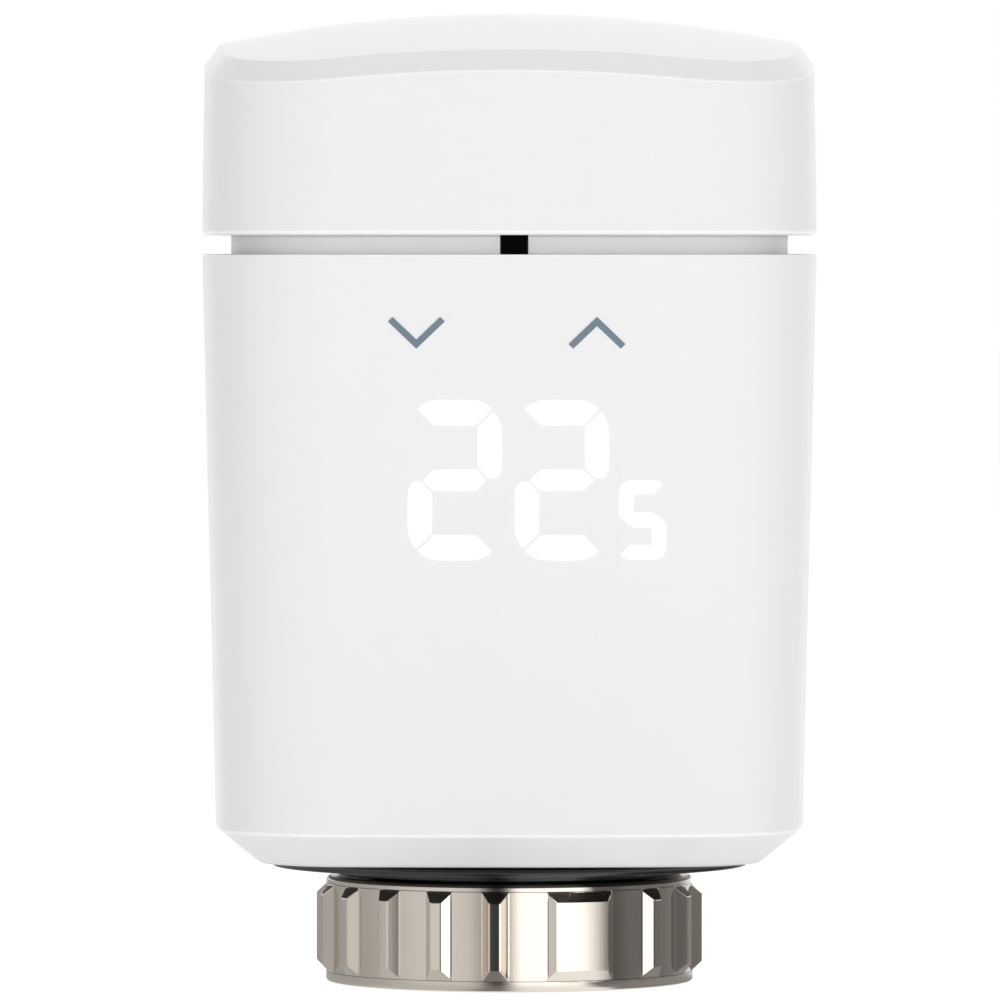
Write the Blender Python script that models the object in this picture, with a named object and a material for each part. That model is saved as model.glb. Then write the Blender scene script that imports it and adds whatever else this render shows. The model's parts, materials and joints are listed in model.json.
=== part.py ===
"""Electronic radiator-valve head: a square upright body with a lift-off cap over its two
cells, a front display, a geared motor drive and a union nut that screws onto the valve.

Lengths below are millimetres and are turned to metres as each mesh is written.
The origin is on the valve axis at the union nut's open end. +Z is up, the front is -Y.
"""
import math

import bmesh
import bpy
from mathutils import Vector

MM = 0.001

# ---- clearances -------------------------------------------------------------------------
GAP = 0.3                    # between pieces that touch on the real head
RUNNING_GAP = 0.25           # round a shaft that turns in a bore
LAYER_GAP = 0.5              # between one gear layer and the next
CUT_PAST = 1.0               # how far a cutter runs past the faces it cuts

# ---- body, seen from above --------------------------------------------------------------
BODY_WIDTH = 54.0            # across the flats at the housing's top edge
CORNER_RADIUS = 12.5         # of that outline's corners
SIDE_RADIUS = 160.0          # of its slightly bowed sides
WALL = 1.8                   # housing and cap skin

# ---- housing, cap and the air gap between them ------------------------------------------
HOUSING_HEIGHT = 52.83
HOUSING_TAPER = 1.15         # how much narrower each side is at the foot
FOOT_INSET = 3.55            # chamfer round the foot
FOOT_HEIGHT = 2.85
FOOT_FILLET = 0.8            # where that chamfer meets the underside
TOP_FILLET = 0.2
FLOOR_THICKNESS = 1.6
FLOOR_BORE_CHORD = 0.25      # how far the floor bore's longest straight facet cuts inwards
AIR_GAP = 1.67
CAP_HEIGHT = 19.45           # lip to the middle of the dome
CAP_TAPER = 0.24
CAP_LIP_BEVEL = 0.25
CAP_CHAMFER_INSET = 1.42
CAP_CHAMFER_HEIGHT = 1.84
DOME_RADIUS_X = 122.0
DOME_RADIUS_Y = 91.0

# ---- base plate and union nut -----------------------------------------------------------
BASE_PROUD = 0.95            # below the housing's underside
BASE_BOSS_RADIUS = 19.2
BASE_RIM = 1.8               # flange past the boss, under the housing's floor
BASE_BOSS_OVER_FLOOR = 0.2
NUT_HEIGHT = 9.4
NUT_TO_BASE = 0.85
NUT_THREAD_RADIUS = 14.2     # inside the M30 x 1.5 thread
NUT_WALL = 1.95              # from there to the valleys between the ribs
NUT_RIB_HEIGHT = 0.88
NUT_RIB_PITCHES = 20
NUT_RIB_BASE_DEG = 8.1
NUT_RIB_CREST_DEG = 3.3
NUT_RIB_FIRST_DEG = 22.6     # centre of one wide rib, from the front towards +X
NUT_WIDE_CREST_DEG = 16.8
NUT_WIDE_HEIGHT = 0.45       # of the wide ribs' flat crests
NUT_RIB_FOOT = 1.0           # height where the ribs' lower ends start
NUT_RIB_TOP = 8.65
NUT_RIB_END = 0.85           # length of each sloping rib end
NUT_EDGE = 0.3
NUT_MOUTH_CHAMFER = 0.5
NUT_LIP = 1.5                # inward lip that carries the nut
NUT_LIP_PLAY = 0.5           # lip round the spigot

# ---- valve spigot, its ring and the plunger ---------------------------------------------
SOCKET_DEPTH = 6.3           # nut's open end to the seat
SPIGOT_INSIDE_THREAD = 2.5   # room between the spigot and the nut's thread
SPIGOT_WALL = 3.1
SPIGOT_WEB = 2.0
SPIGOT_RIM = 3.8             # flange past the spigot, on the base plate
SPIGOT_FLANGE = 1.0
RING_THICKNESS = 0.6
RING_INSIDE_THREAD = 0.8
RING_DEPTH = 0.5             # how far the ring sits in its groove
RING_OPENING_DEG = 34.0
KEY_WIDTH = 3.0
KEY_PAST_BORE = 0.6          # keyways cut into the spigot's bore
PLUNGER_RADIUS = 3.0
PLUNGER_FOOT_RADIUS = 5.5
PLUNGER_FOOT = 2.0
PLUNGER_BELOW_HUB = 1.0      # rod's top inside the drive sleeve's top
HUB_RADIUS = 5.0

# ---- gear train -------------------------------------------------------------------------
GEAR_MODULE = 0.6
PINION_TEETH = 10
WHEEL_TEETH = 26
DRIVE_TEETH = 36
ADDENDUM = 0.8               # of the module
DEDENDUM = 1.15
BACKLASH = 0.14
PRESSURE_DEG = 25.0
DRIVE_GEAR_THICKNESS = 2.2
GEAR_THICKNESS = 1.6
SECOND_GEAR_DEG = -25.0      # directions from one gear's axle to the next
FIRST_GEAR_DEG = 221.0
MOTOR_DEG = 165.0
AXLE_RADIUS = 0.8
AXLE_SHOULDER = 1.3          # holds the first gear above the drive gear's layer
GEAR_HUB_RADIUS = 1.85
WASHER_THICKNESS = 1.1
WASHER_RADIUS = 8.0
PLATE_PAST_BOSS = 1.8        # gearbox plates' edge outside the base plate's boss
PLATE_SKIRT = 1.0
BASE_PLATE_THICKNESS = 1.0
COVER_THICKNESS = 1.2
POST_RADIUS = 2.2
SCREW_RADIUS = 0.8
SCREW_HEAD_RADIUS = 1.7
SCREW_HEAD = 1.1
SCREW_LENGTH = 4.0
SCREW_PLACES = ((-16.5, -16.5), (16.5, -16.5), (18.5, 4.0), (-18.5, 4.0))
MOTOR_RADIUS = 6.0
MOTOR_LENGTH = 15.0
MOTOR_SHAFT_RADIUS = 0.8
MOTOR_SHAFT_DEPTH = 5.0
PINION_WINDOW_PLAY = 0.3

# ---- cells and contacts -----------------------------------------------------------------
CELL_RADIUS = 7.25           # AA cell
CELL_LENGTH = 50.5
CELL_NUB_RADIUS = 2.7
CELL_NUB = 1.0
WELL_WEB = 0.4               # left between the two cells' bores
CELL_Y = 9.0
WELL_WALL = 1.0
CONTACT_SPACE = 1.6
BRIDGE_SPACE = 1.1
BRIDGE_THICKNESS = 0.5
BRIDGE_WIDTH = 8.0
SPRING_WIRE = 0.3            # wire radius
SPRING_TURNS = 2.75
SPRING_OUTER = 5.0
SPRING_INNER = 2.4

# ---- inner chassis, cap insert, display and board ---------------------------------------
NECK_BEHIND_WALL = 0.75      # slot between the housing's skin and the neck
NECK_WALL = 1.4
NECK_RISE = 9.0              # above the housing's top edge
DECK_DROP = 3.0              # deck's underside below that edge
DECK_THICKNESS = 1.2
INSERT_SKIRT = 1.0
INSERT_OVER_LIP = 1.6        # skirt's lower edge above the cap's lip
INSERT_ROOF = 0.6
INSERT_PAST_CELLS = 3.75     # roof's edge beyond the cells
INSERT_UNDER_DOME = 1.2     # skirt's top corner below the cap's inside
WINDOW_WIDTH = 2.34
WINDOW_X = 0.39
SENSOR_SIZE = 1.6
BOARD_SIDE_ROOM = 1.04        # board's side edges inside the housing's inner corners
BOARD_HEIGHT = 33.2
BOARD_THICKNESS = 1.2
BOARD_BEHIND_FRONT = 5.1     # board's front face behind the body's widest front line
MASK_THICKNESS = 0.5
GUIDE_THICKNESS = 0.6
DISPLAY_HALF_WIDTH = 14.0
DISPLAY_BELOW_TOP = 11.0     # display stack's upper edge below the housing's top edge
DISPLAY_HEIGHT = 17.0
PAD_X = 7.75
PAD_BELOW_TOP = 6.75
PAD_WIDTH = 8.0
PAD_HEIGHT = 5.0
PAD_THICKNESS = 1.6
CHIP_LEFT = 4.0
CHIP_SIZE = 7.0
CHIP_THICKNESS = 1.0
RADIO_LEFT = -15.0
RADIO_WIDTH = 12.0
RADIO_HEIGHT = 9.0
RADIO_THICKNESS = 1.6
RADIO_BELOW_EDGE = 3.0

# ---- display figures: centres and sizes, from the object's middle and the pads' height --
DIGIT_WIDTH = 8.2
DIGIT_HEIGHT = 13.7
SEGMENT = 1.5
DIGIT_CENTRES = (-4.7, 4.6)
DIGIT_BELOW_TOP = 19.35
SMALL_CENTRE = 11.5
SMALL_SCALE = 0.5

# ---- radii that follow ------------------------------------------------------------------
NUT_RADIUS = NUT_THREAD_RADIUS + NUT_WALL
SPIGOT_RADIUS = NUT_THREAD_RADIUS - SPIGOT_INSIDE_THREAD
SPIGOT_BORE = SPIGOT_RADIUS - SPIGOT_WALL
SPIGOT_FLANGE_RADIUS = SPIGOT_RADIUS + SPIGOT_RIM
NUT_LIP_BORE = SPIGOT_RADIUS + NUT_LIP_PLAY
RING_RADIUS = NUT_THREAD_RADIUS - RING_INSIDE_THREAD
KEY_REACH = SPIGOT_BORE + KEY_PAST_BORE
BASE_RADIUS = BASE_BOSS_RADIUS + BASE_RIM
PLATE_HALF = BASE_BOSS_RADIUS + PLATE_PAST_BOSS
PINION_WINDOW = GEAR_MODULE * (PINION_TEETH / 2 + ADDENDUM) + PINION_WINDOW_PLAY
CELL_SPACING = 2 * (CELL_RADIUS + GAP) + WELL_WEB

# ---- heights that follow ----------------------------------------------------------------
BODY_HALF = BODY_WIDTH / 2
BASE_Z = NUT_HEIGHT + NUT_TO_BASE
FOOT_Z = BASE_Z + BASE_PROUD
FLOOR_Z = FOOT_Z + FLOOR_THICKNESS
TOP_Z = FOOT_Z + HOUSING_HEIGHT
LIP_Z = TOP_Z + AIR_GAP
APEX_Z = LIP_Z + CAP_HEIGHT
BASE_TOP_Z = FLOOR_Z + BASE_BOSS_OVER_FLOOR
FLANGE_Z = BASE_TOP_Z + GAP
SPIGOT_TOP_Z = FLANGE_Z + SPIGOT_FLANGE
PLATE_Z = SPIGOT_TOP_Z + GAP
PLATE_TOP_Z = PLATE_Z + BASE_PLATE_THICKNESS
LAYER_A = PLATE_Z + WASHER_THICKNESS + GAP
LAYER_B = LAYER_A + DRIVE_GEAR_THICKNESS + LAYER_GAP
LAYER_C = LAYER_B + GEAR_THICKNESS + LAYER_GAP
COVER_Z = LAYER_C + GEAR_THICKNESS + LAYER_GAP
COVER_TOP_Z = COVER_Z + COVER_THICKNESS
HUB_TOP_Z = COVER_Z - GAP
NUT_LIP_Z = NUT_HEIGHT - NUT_LIP
RING_Z = NUT_LIP_Z - GAP - RING_THICKNESS
PLUNGER_Z = SOCKET_DEPTH + GAP
DECK_Z = TOP_Z - DECK_DROP
NECK_HALF = BODY_HALF - WALL - NECK_BEHIND_WALL
INSERT_HALF = NECK_HALF - NECK_WALL - GAP
INSERT_ROOF_HALF = CELL_Y + CELL_RADIUS + INSERT_PAST_CELLS

SEGMENTS = 24                # sides of an ordinary round piece
FINE_SEGMENTS = 40
SMALL_SEGMENTS = 16


# ---- places of the gear axles -----------------------------------------------------------
def step_from(place, distance, degrees):
    angle = math.radians(degrees)
    return (place[0] + distance * math.cos(angle), place[1] + distance * math.sin(angle))


def mesh_distance(teeth_a, teeth_b):
    return GEAR_MODULE * (teeth_a + teeth_b) / 2


AXIS = (0.0, 0.0)
SECOND_AXLE = step_from(AXIS, mesh_distance(DRIVE_TEETH, PINION_TEETH), SECOND_GEAR_DEG)
FIRST_AXLE = step_from(SECOND_AXLE, mesh_distance(WHEEL_TEETH, PINION_TEETH), FIRST_GEAR_DEG)
MOTOR_AXIS = step_from(FIRST_AXLE, mesh_distance(WHEEL_TEETH, PINION_TEETH), MOTOR_DEG)


# ---- materials --------------------------------------------------------------------------
def material(name, colour, roughness, metallic=0.0):
    made = bpy.data.materials.new(name)
    made.use_nodes = True
    shader = made.node_tree.nodes["Principled BSDF"]
    shader.inputs["Base Color"].default_value = (*colour, 1.0)
    shader.inputs["Roughness"].default_value = roughness
    shader.inputs["Metallic"].default_value = metallic
    return made


for old in list(bpy.data.objects):
    bpy.data.objects.remove(old, do_unlink=True)

MATERIALS = {
    "white_plastic": material("white_plastic", (0.86, 0.87, 0.88), 0.38),
    "neck_plastic": material("neck_plastic", (0.78, 0.79, 0.80), 0.45),
    "black_plastic": material("black_plastic", (0.03, 0.03, 0.035), 0.35),
    "nickel": material("nickel", (0.74, 0.70, 0.64), 0.22, 1.0),
    "steel": material("steel", (0.62, 0.62, 0.63), 0.3, 1.0),
    "spring_steel": material("spring_steel", (0.72, 0.71, 0.68), 0.25, 1.0),
    "gear_plastic": material("gear_plastic", (0.88, 0.86, 0.80), 0.5),
    "drive_plastic": material("drive_plastic", (0.30, 0.31, 0.33), 0.5),
    "board_green": material("board_green", (0.03, 0.22, 0.10), 0.5),
    "chip_black": material("chip_black", (0.05, 0.05, 0.05), 0.45),
    "copper": material("copper", (0.80, 0.45, 0.28), 0.35, 1.0),
    "diffuser": material("diffuser", (0.90, 0.90, 0.88), 0.55),
    "cell_wrap": material("cell_wrap", (0.16, 0.30, 0.38), 0.35),
    "brass": material("brass", (0.78, 0.62, 0.32), 0.3, 1.0),
}


# ---- mesh making ------------------------------------------------------------------------
def add_part(name, mesh_builder, material_name, origin=(0.0, 0.0, 0.0), smooth_deg=35.0):
    """Writes a mesh given in millimetres as an object whose origin is at the given place."""
    bmesh.ops.recalc_face_normals(mesh_builder, faces=mesh_builder.faces)
    centre = Vector(origin)
    for vertex in mesh_builder.verts:
        vertex.co = (vertex.co - centre) * MM
    mesh = bpy.data.meshes.new(name)
    mesh_builder.to_mesh(mesh)
    mesh_builder.free()
    mesh.shade_smooth()
    mesh.set_sharp_from_angle(angle=math.radians(smooth_deg))
    mesh.materials.append(MATERIALS[material_name])
    made = bpy.data.objects.new(name, mesh)
    made.location = centre * MM
    bpy.context.collection.objects.link(made)
    return made


def boolean(target, tools, operation):
    """Adds or cuts each tool, which stays in the scene as a hidden guide."""
    for tool in tools:
        tool.hide_render = True
        tool.display_type = "WIRE"
        modifier = target.modifiers.new(tool.name, "BOOLEAN")
        modifier.operation = operation
        modifier.solver = "EXACT"
        modifier.object = tool
    return target


def corner_arc(half):
    """Centre, on the diagonal, and radius of the outline's corner arcs."""
    corner = CORNER_RADIUS + half - BODY_HALF
    reach = SIDE_RADIUS - CORNER_RADIUS
    middle = SIDE_RADIUS - BODY_HALF
    return (math.sqrt(2 * reach * reach - middle * middle) - middle) / 2, corner


def outline(half, scale=1.0):
    """The body's outline at the given half width: bowed sides joined by corner arcs."""
    centre, corner = corner_arc(half)
    side = SIDE_RADIUS + half - BODY_HALF
    middle = side - half
    join_deg = math.degrees(math.atan2(centre, centre + middle))
    side_normals = [join_deg * step / 2 for step in range(2)]
    corner_normals = [join_deg + (45.0 - join_deg) * step / 3 for step in range(3)]
    eighth = []
    for degrees in side_normals:
        angle = math.radians(degrees)
        eighth.append((side * math.cos(angle) - middle, side * math.sin(angle)))
    for degrees in corner_normals:
        angle = math.radians(degrees)
        eighth.append((centre + corner * math.cos(angle), centre + corner * math.sin(angle)))
    diagonal = centre + corner * math.sqrt(0.5)
    quarter = eighth + [(diagonal, diagonal)] + [(y, x) for x, y in reversed(eighth[1:])]
    points = []
    for turn in range(4):
        for x, y in quarter:
            points.append((x * scale, y * scale))
        quarter = [(-y, x) for x, y in quarter]
    return points


def circle(radius, count, centre=AXIS, directions=None):
    angles = directions or [2 * math.pi * step / count for step in range(count)]
    return [(centre[0] + radius * math.cos(a), centre[1] + radius * math.sin(a)) for a in angles]


def circle_like(points, radius):
    """A circle whose points lie in the same directions as another outline's."""
    return circle(radius, len(points), directions=[math.atan2(y, x) for x, y in points])


def at_height(points, height):
    if callable(height):
        return [(x, y, height(x, y)) for x, y in points]
    return [(x, y, height) for x, y in points]


def loft(rings, closed=False):
    """Skins rings of equally many points, where a ring of one point is a pole.

    The ends are filled, unless the loft closes on itself.
    """
    builder = bmesh.new()
    made = [[builder.verts.new(point) for point in ring] for ring in rings]
    pairs = list(zip(made, made[1:]))
    if closed:
        pairs.append((made[-1], made[0]))
    for lower, upper in pairs:
        count = max(len(lower), len(upper))
        for index in range(count):
            after = (index + 1) % count
            if len(upper) == 1:
                builder.faces.new((lower[index], lower[after], upper[0]))
            elif len(lower) == 1:
                builder.faces.new((lower[0], upper[after], upper[index]))
            else:
                builder.faces.new((lower[index], lower[after], upper[after], upper[index]))
    if not closed:
        for end in (made[0], made[-1]):
            if len(end) > 2:
                builder.faces.new(end)
    return builder


def turned(profile, centre=AXIS, count=SEGMENTS, closed=False):
    """Turns (radius, height) points round a vertical axis; a radius of zero makes a pole."""
    rings = []
    for radius, height in profile:
        if radius == 0:
            rings.append([(centre[0], centre[1], height)])
        else:
            rings.append(at_height(circle(radius, count, centre), height))
    return loft(rings, closed)


def extruded(points, low, high):
    return loft([at_height(points, low), at_height(points, high)])


def box(low, high):
    points = [(low[0], low[1]), (high[0], low[1]), (high[0], high[1]), (low[0], high[1])]
    return extruded(points, low[2], high[2])


def rod(name, radius, low, high, centre=AXIS, count=SEGMENTS, material_name="steel"):
    points = circle(radius, count, centre)
    return add_part(name, extruded(points, low, high), material_name, (*centre, low))


def tube(name, bore, radius, low, high, material_name, centre=AXIS, count=SEGMENTS):
    profile = [(radius, low), (radius, high), (bore, high), (bore, low)]
    return add_part(name, turned(profile, centre, count, closed=True), material_name, (*centre, low))


# ---- outer shells -----------------------------------------------------------------------
def housing_half(height):
    """Half width of the tapering housing at a height above its foot chamfer."""
    share = (TOP_Z - height) / (HOUSING_HEIGHT - FOOT_HEIGHT)
    return BODY_HALF - HOUSING_TAPER * share


def make_housing():
    shoulder_z = FOOT_Z + FOOT_HEIGHT
    shoulder = housing_half(shoulder_z)
    foot = shoulder - FOOT_INSET
    slope = FOOT_HEIGHT / FOOT_INSET
    opening = outline(BODY_HALF)
    bore = BASE_BOSS_RADIUS + GAP + FLOOR_BORE_CHORD
    rings = [
        (circle_like(opening, bore), FLOOR_Z),
        (circle_like(opening, bore), FOOT_Z),
        (outline(foot - FOOT_FILLET * 0.5), FOOT_Z),
        (outline(foot + FOOT_FILLET * 0.3), FOOT_Z + FOOT_FILLET * 0.3 * slope),
        (outline(shoulder), shoulder_z),
        (outline(BODY_HALF - TOP_FILLET * 0.1), TOP_Z - TOP_FILLET),
        (outline(BODY_HALF - TOP_FILLET), TOP_Z),
        (outline(BODY_HALF - WALL), TOP_Z),
        (outline(shoulder - WALL), shoulder_z),
        (outline(shoulder - WALL - (shoulder_z - FLOOR_Z) / slope), FLOOR_Z),
    ]
    builder = loft([at_height(points, height) for points, height in rings], closed=True)
    return add_part("housing", builder, "white_plastic")


def dome(x, y):
    return APEX_Z - x * x / (2 * DOME_RADIUS_X) - y * y / (2 * DOME_RADIUS_Y)


def dome_inside(x, y):
    return dome(x, y) - WALL


CAP_TOP_HALF = BODY_HALF - CAP_TAPER
CAP_RIM_HALF = CAP_TOP_HALF - CAP_CHAMFER_INSET


def make_cap():
    """Outer skin from the lip up over the dome, then the inner skin back down."""
    rim = outline(CAP_RIM_HALF)
    edge = outline(CAP_TOP_HALF)
    lower_edge = [(x, y, dome(u, v) - CAP_CHAMFER_HEIGHT) for (x, y), (u, v) in zip(edge, rim)]
    inner_edge = outline(CAP_TOP_HALF - WALL)
    roof_edge = outline(CAP_RIM_HALF - WALL)
    inner_top = [(x, y, dome_inside(u, v) - CAP_CHAMFER_HEIGHT * 0.6)
                 for (x, y), (u, v) in zip(inner_edge, roof_edge)]
    rings = [
        at_height(outline(BODY_HALF - CAP_LIP_BEVEL), LIP_Z),
        at_height(outline(BODY_HALF), LIP_Z + CAP_LIP_BEVEL),
        lower_edge,
        at_height(rim, dome),
    ]
    rings += [at_height(outline(CAP_RIM_HALF, scale), dome) for scale in (0.84, 0.6, 0.3)]
    rings.append([(0.0, 0.0, APEX_Z)])
    inner = [at_height(outline(BODY_HALF - WALL), LIP_Z), inner_top, at_height(roof_edge, dome_inside)]
    inner += [at_height(outline(CAP_RIM_HALF - WALL, scale), dome_inside) for scale in (0.75, 0.4)]
    inner.append([(0.0, 0.0, APEX_Z - WALL)])
    builder = loft(list(reversed(rings)) + inner)
    return add_part("cap", builder, "white_plastic", (0.0, 0.0, LIP_Z))


def farthest(points):
    return max(points, key=lambda point: point[0] + point[1])


INSERT_ROOF_Z = dome_inside(*farthest(outline(INSERT_ROOF_HALF))) - GAP
INSERT_CEILING_Z = INSERT_ROOF_Z - INSERT_ROOF
INSERT_LOW_Z = LIP_Z + INSERT_OVER_LIP
BRIDGE_TOP_Z = INSERT_CEILING_Z - GAP
BRIDGE_Z = BRIDGE_TOP_Z - BRIDGE_THICKNESS
CELL_TOP_Z = BRIDGE_Z - BRIDGE_SPACE
CELL_Z = CELL_TOP_Z - CELL_LENGTH
WELL_FLOOR_Z = CELL_Z - CONTACT_SPACE
WELL_Z = COVER_TOP_Z + GAP
CELL_PLACES = ((-CELL_SPACING / 2, CELL_Y), (CELL_SPACING / 2, CELL_Y))


def make_cap_insert():
    """An inner cup that plugs into the chassis neck and carries the contact bridge."""
    slope_start = dome_inside(*farthest(outline(INSERT_HALF))) - INSERT_UNDER_DOME
    rings = [
        (outline(INSERT_ROOF_HALF), INSERT_ROOF_Z),
        (outline(INSERT_HALF), slope_start),
        (outline(INSERT_HALF), INSERT_LOW_Z),
        (outline(INSERT_HALF - INSERT_SKIRT), INSERT_LOW_Z),
        (outline(INSERT_HALF - INSERT_SKIRT), slope_start - INSERT_SKIRT * 0.5),
        (outline(INSERT_ROOF_HALF - INSERT_SKIRT), INSERT_CEILING_Z),
    ]
    builder = loft([at_height(points, height) for points, height in rings])
    return add_part("cap_insert", builder, "neck_plastic", (0.0, 0.0, INSERT_ROOF_Z))


# ---- inner chassis with the neck, the cell wells and the sensor window ------------------
def make_chassis():
    rings = [
        (outline(NECK_HALF), DECK_Z),
        (outline(NECK_HALF), TOP_Z + NECK_RISE),
        (outline(NECK_HALF - NECK_WALL), TOP_Z + NECK_RISE),
        (outline(NECK_HALF - NECK_WALL), DECK_Z + DECK_THICKNESS),
    ]
    builder = loft([at_height(points, height) for points, height in rings])
    chassis = add_part("inner_chassis", builder, "neck_plastic")
    well_bore = CELL_RADIUS + GAP
    wells = []
    bores = []
    for index, place in enumerate(CELL_PLACES):
        well_top = DECK_Z + DECK_THICKNESS * 0.5
        wells.append(rod(f"well_{index}", well_bore + WELL_WALL, WELL_Z, well_top, place))
        bores.append(rod(f"well_bore_{index}", well_bore, WELL_FLOOR_Z, LIP_Z, place))
    boolean(chassis, wells, "UNION")
    boolean(chassis, bores, "DIFFERENCE")
    slot_half = WINDOW_WIDTH / 2 + GAP
    slot_low = (WINDOW_X - slot_half, -NECK_HALF - CUT_PAST, TOP_Z - GAP)
    slot_high = (WINDOW_X + slot_half, -NECK_HALF + NECK_WALL + 0.6, LIP_Z + GAP)
    slot = add_part("window_slot", box(slot_low, slot_high), "black_plastic")
    boolean(chassis, [slot], "DIFFERENCE")
    return chassis


def make_window_and_sensor():
    half = WINDOW_WIDTH / 2
    low = (WINDOW_X - half, -NECK_HALF - 0.1, TOP_Z)
    high = (WINDOW_X + half, -NECK_HALF + NECK_WALL - GAP, LIP_Z)
    add_part("sensor_window", box(low, high), "black_plastic")
    back = -NECK_HALF + NECK_WALL
    sensor_half = SENSOR_SIZE / 2
    middle = (TOP_Z + LIP_Z) / 2
    low = (WINDOW_X - sensor_half, back, middle - sensor_half)
    high = (WINDOW_X + sensor_half, back + SENSOR_SIZE * 0.6, middle + sensor_half)
    add_part("temperature_sensor", box(low, high), "chip_black")


# ---- base plate, spigot, retaining ring and union nut -----------------------------------
def make_base_plate():
    profile = [
        (BASE_RADIUS - 0.2, BASE_Z),
        (BASE_RADIUS, BASE_Z + 0.2),
        (BASE_RADIUS, FOOT_Z - GAP),
        (BASE_BOSS_RADIUS, FOOT_Z - GAP),
        (BASE_BOSS_RADIUS, BASE_TOP_Z),
        (SPIGOT_RADIUS + GAP, BASE_TOP_Z),
        (SPIGOT_RADIUS + GAP, BASE_Z),
    ]
    builder = turned(profile, count=FINE_SEGMENTS, closed=True)
    return add_part("base_plate", builder, "black_plastic")


def make_spigot():
    groove = SPIGOT_RADIUS - RING_DEPTH - GAP
    web_z = SPIGOT_TOP_Z - SPIGOT_WEB
    profile = [
        (SPIGOT_RADIUS, SOCKET_DEPTH),
        (SPIGOT_RADIUS, RING_Z - GAP),
        (groove, RING_Z - GAP),
        (groove, RING_Z + RING_THICKNESS + GAP),
        (SPIGOT_RADIUS, RING_Z + RING_THICKNESS + GAP),
        (SPIGOT_RADIUS, FLANGE_Z),
        (SPIGOT_FLANGE_RADIUS, FLANGE_Z),
        (SPIGOT_FLANGE_RADIUS, SPIGOT_TOP_Z),
        (HUB_RADIUS + RUNNING_GAP, SPIGOT_TOP_Z),
        (HUB_RADIUS + RUNNING_GAP, web_z),
        (SPIGOT_BORE, web_z),
        (SPIGOT_BORE, SOCKET_DEPTH),
    ]
    spigot = add_part("valve_spigot", turned(profile, count=FINE_SEGMENTS, closed=True), "black_plastic")
    keyway_half = KEY_WIDTH / 2 + GAP
    low = (-KEY_REACH - GAP, -keyway_half, SOCKET_DEPTH - CUT_PAST)
    high = (KEY_REACH + GAP, keyway_half, web_z)
    keyway = add_part("keyway", box(low, high), "black_plastic")
    return boolean(spigot, [keyway], "DIFFERENCE")


def make_retaining_ring():
    """A spring ring, open at the back, that sits in the spigot's groove under the nut's lip."""
    count = 30
    start = 90.0 + RING_OPENING_DEG / 2
    sweep = 360.0 - RING_OPENING_DEG
    angles = [math.radians(start + sweep * step / count) for step in range(count + 1)]
    outer = circle(RING_RADIUS, 0, directions=angles)
    inner = circle(SPIGOT_RADIUS - RING_DEPTH, 0, directions=list(reversed(angles)))
    builder = extruded_strip(outer, list(reversed(inner)), RING_Z, RING_Z + RING_THICKNESS)
    return add_part("nut_retaining_ring", builder, "spring_steel")


def extruded_strip(outer, inner, low, high):
    """A flat strip between two point rows, given thickness, as quads all along."""
    sections = []
    for a, b in zip(outer, inner):
        sections.append([(*a, low), (*a, high), (*b, high), (*b, low)])
    return loft(sections)


def rib_steps():
    """Directions and heights of the nut's outline: sixteen narrow ribs and two wide ones."""
    pitch = 360.0 / NUT_RIB_PITCHES
    base = NUT_RIB_BASE_DEG / 2
    crest = NUT_RIB_CREST_DEG / 2
    ramp = base - crest
    wide_crest = NUT_WIDE_CREST_DEG / 2
    steps = []
    for half_turn in (0.0, 180.0):
        wide = NUT_RIB_FIRST_DEG + half_turn
        steps.append((wide - wide_crest - ramp, NUT_RADIUS))
        for share in (-1.0, -0.5, 0.0, 0.5, 1.0):
            off = wide_crest * share
            steps.append((wide + off, (NUT_RADIUS + NUT_WIDE_HEIGHT) / math.cos(math.radians(off))))
        steps.append((wide + wide_crest + ramp, NUT_RADIUS))
        for rib in range(8):
            centre = wide + pitch * (1.5 + rib)
            steps.append((centre - base, NUT_RADIUS))
            steps.append((centre - crest, NUT_RADIUS + NUT_RIB_HEIGHT))
            steps.append((centre + crest, NUT_RADIUS + NUT_RIB_HEIGHT))
            steps.append((centre + base, NUT_RADIUS))
    return steps


def make_union_nut():
    steps = rib_steps()
    angles = [math.radians(degrees - 90.0) for degrees, _ in steps]

    def round_ring(radius, height):
        return at_height(circle(radius, 0, directions=angles), height)

    def ribbed_ring(height):
        return [(radius * math.cos(a), radius * math.sin(a), height)
                for (_, radius), a in zip(steps, angles)]

    mouth = NUT_THREAD_RADIUS + NUT_MOUTH_CHAMFER
    rings = [
        round_ring(mouth, 0.0),
        round_ring(NUT_RADIUS - NUT_EDGE, 0.0),
        round_ring(NUT_RADIUS, NUT_EDGE),
        round_ring(NUT_RADIUS, NUT_RIB_FOOT),
        ribbed_ring(NUT_RIB_FOOT + NUT_RIB_END),
        ribbed_ring(NUT_RIB_TOP - NUT_RIB_END),
        round_ring(NUT_RADIUS, NUT_RIB_TOP),
        round_ring(NUT_RADIUS, NUT_HEIGHT - NUT_EDGE),
        round_ring(NUT_RADIUS - NUT_EDGE, NUT_HEIGHT),
        round_ring(NUT_LIP_BORE, NUT_HEIGHT),
        round_ring(NUT_LIP_BORE, NUT_LIP_Z),
        round_ring(NUT_THREAD_RADIUS, NUT_LIP_Z),
        round_ring(NUT_THREAD_RADIUS, NUT_MOUTH_CHAMFER),
    ]
    return add_part("union_nut", loft(rings, closed=True), "nickel", smooth_deg=20.0)


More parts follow.
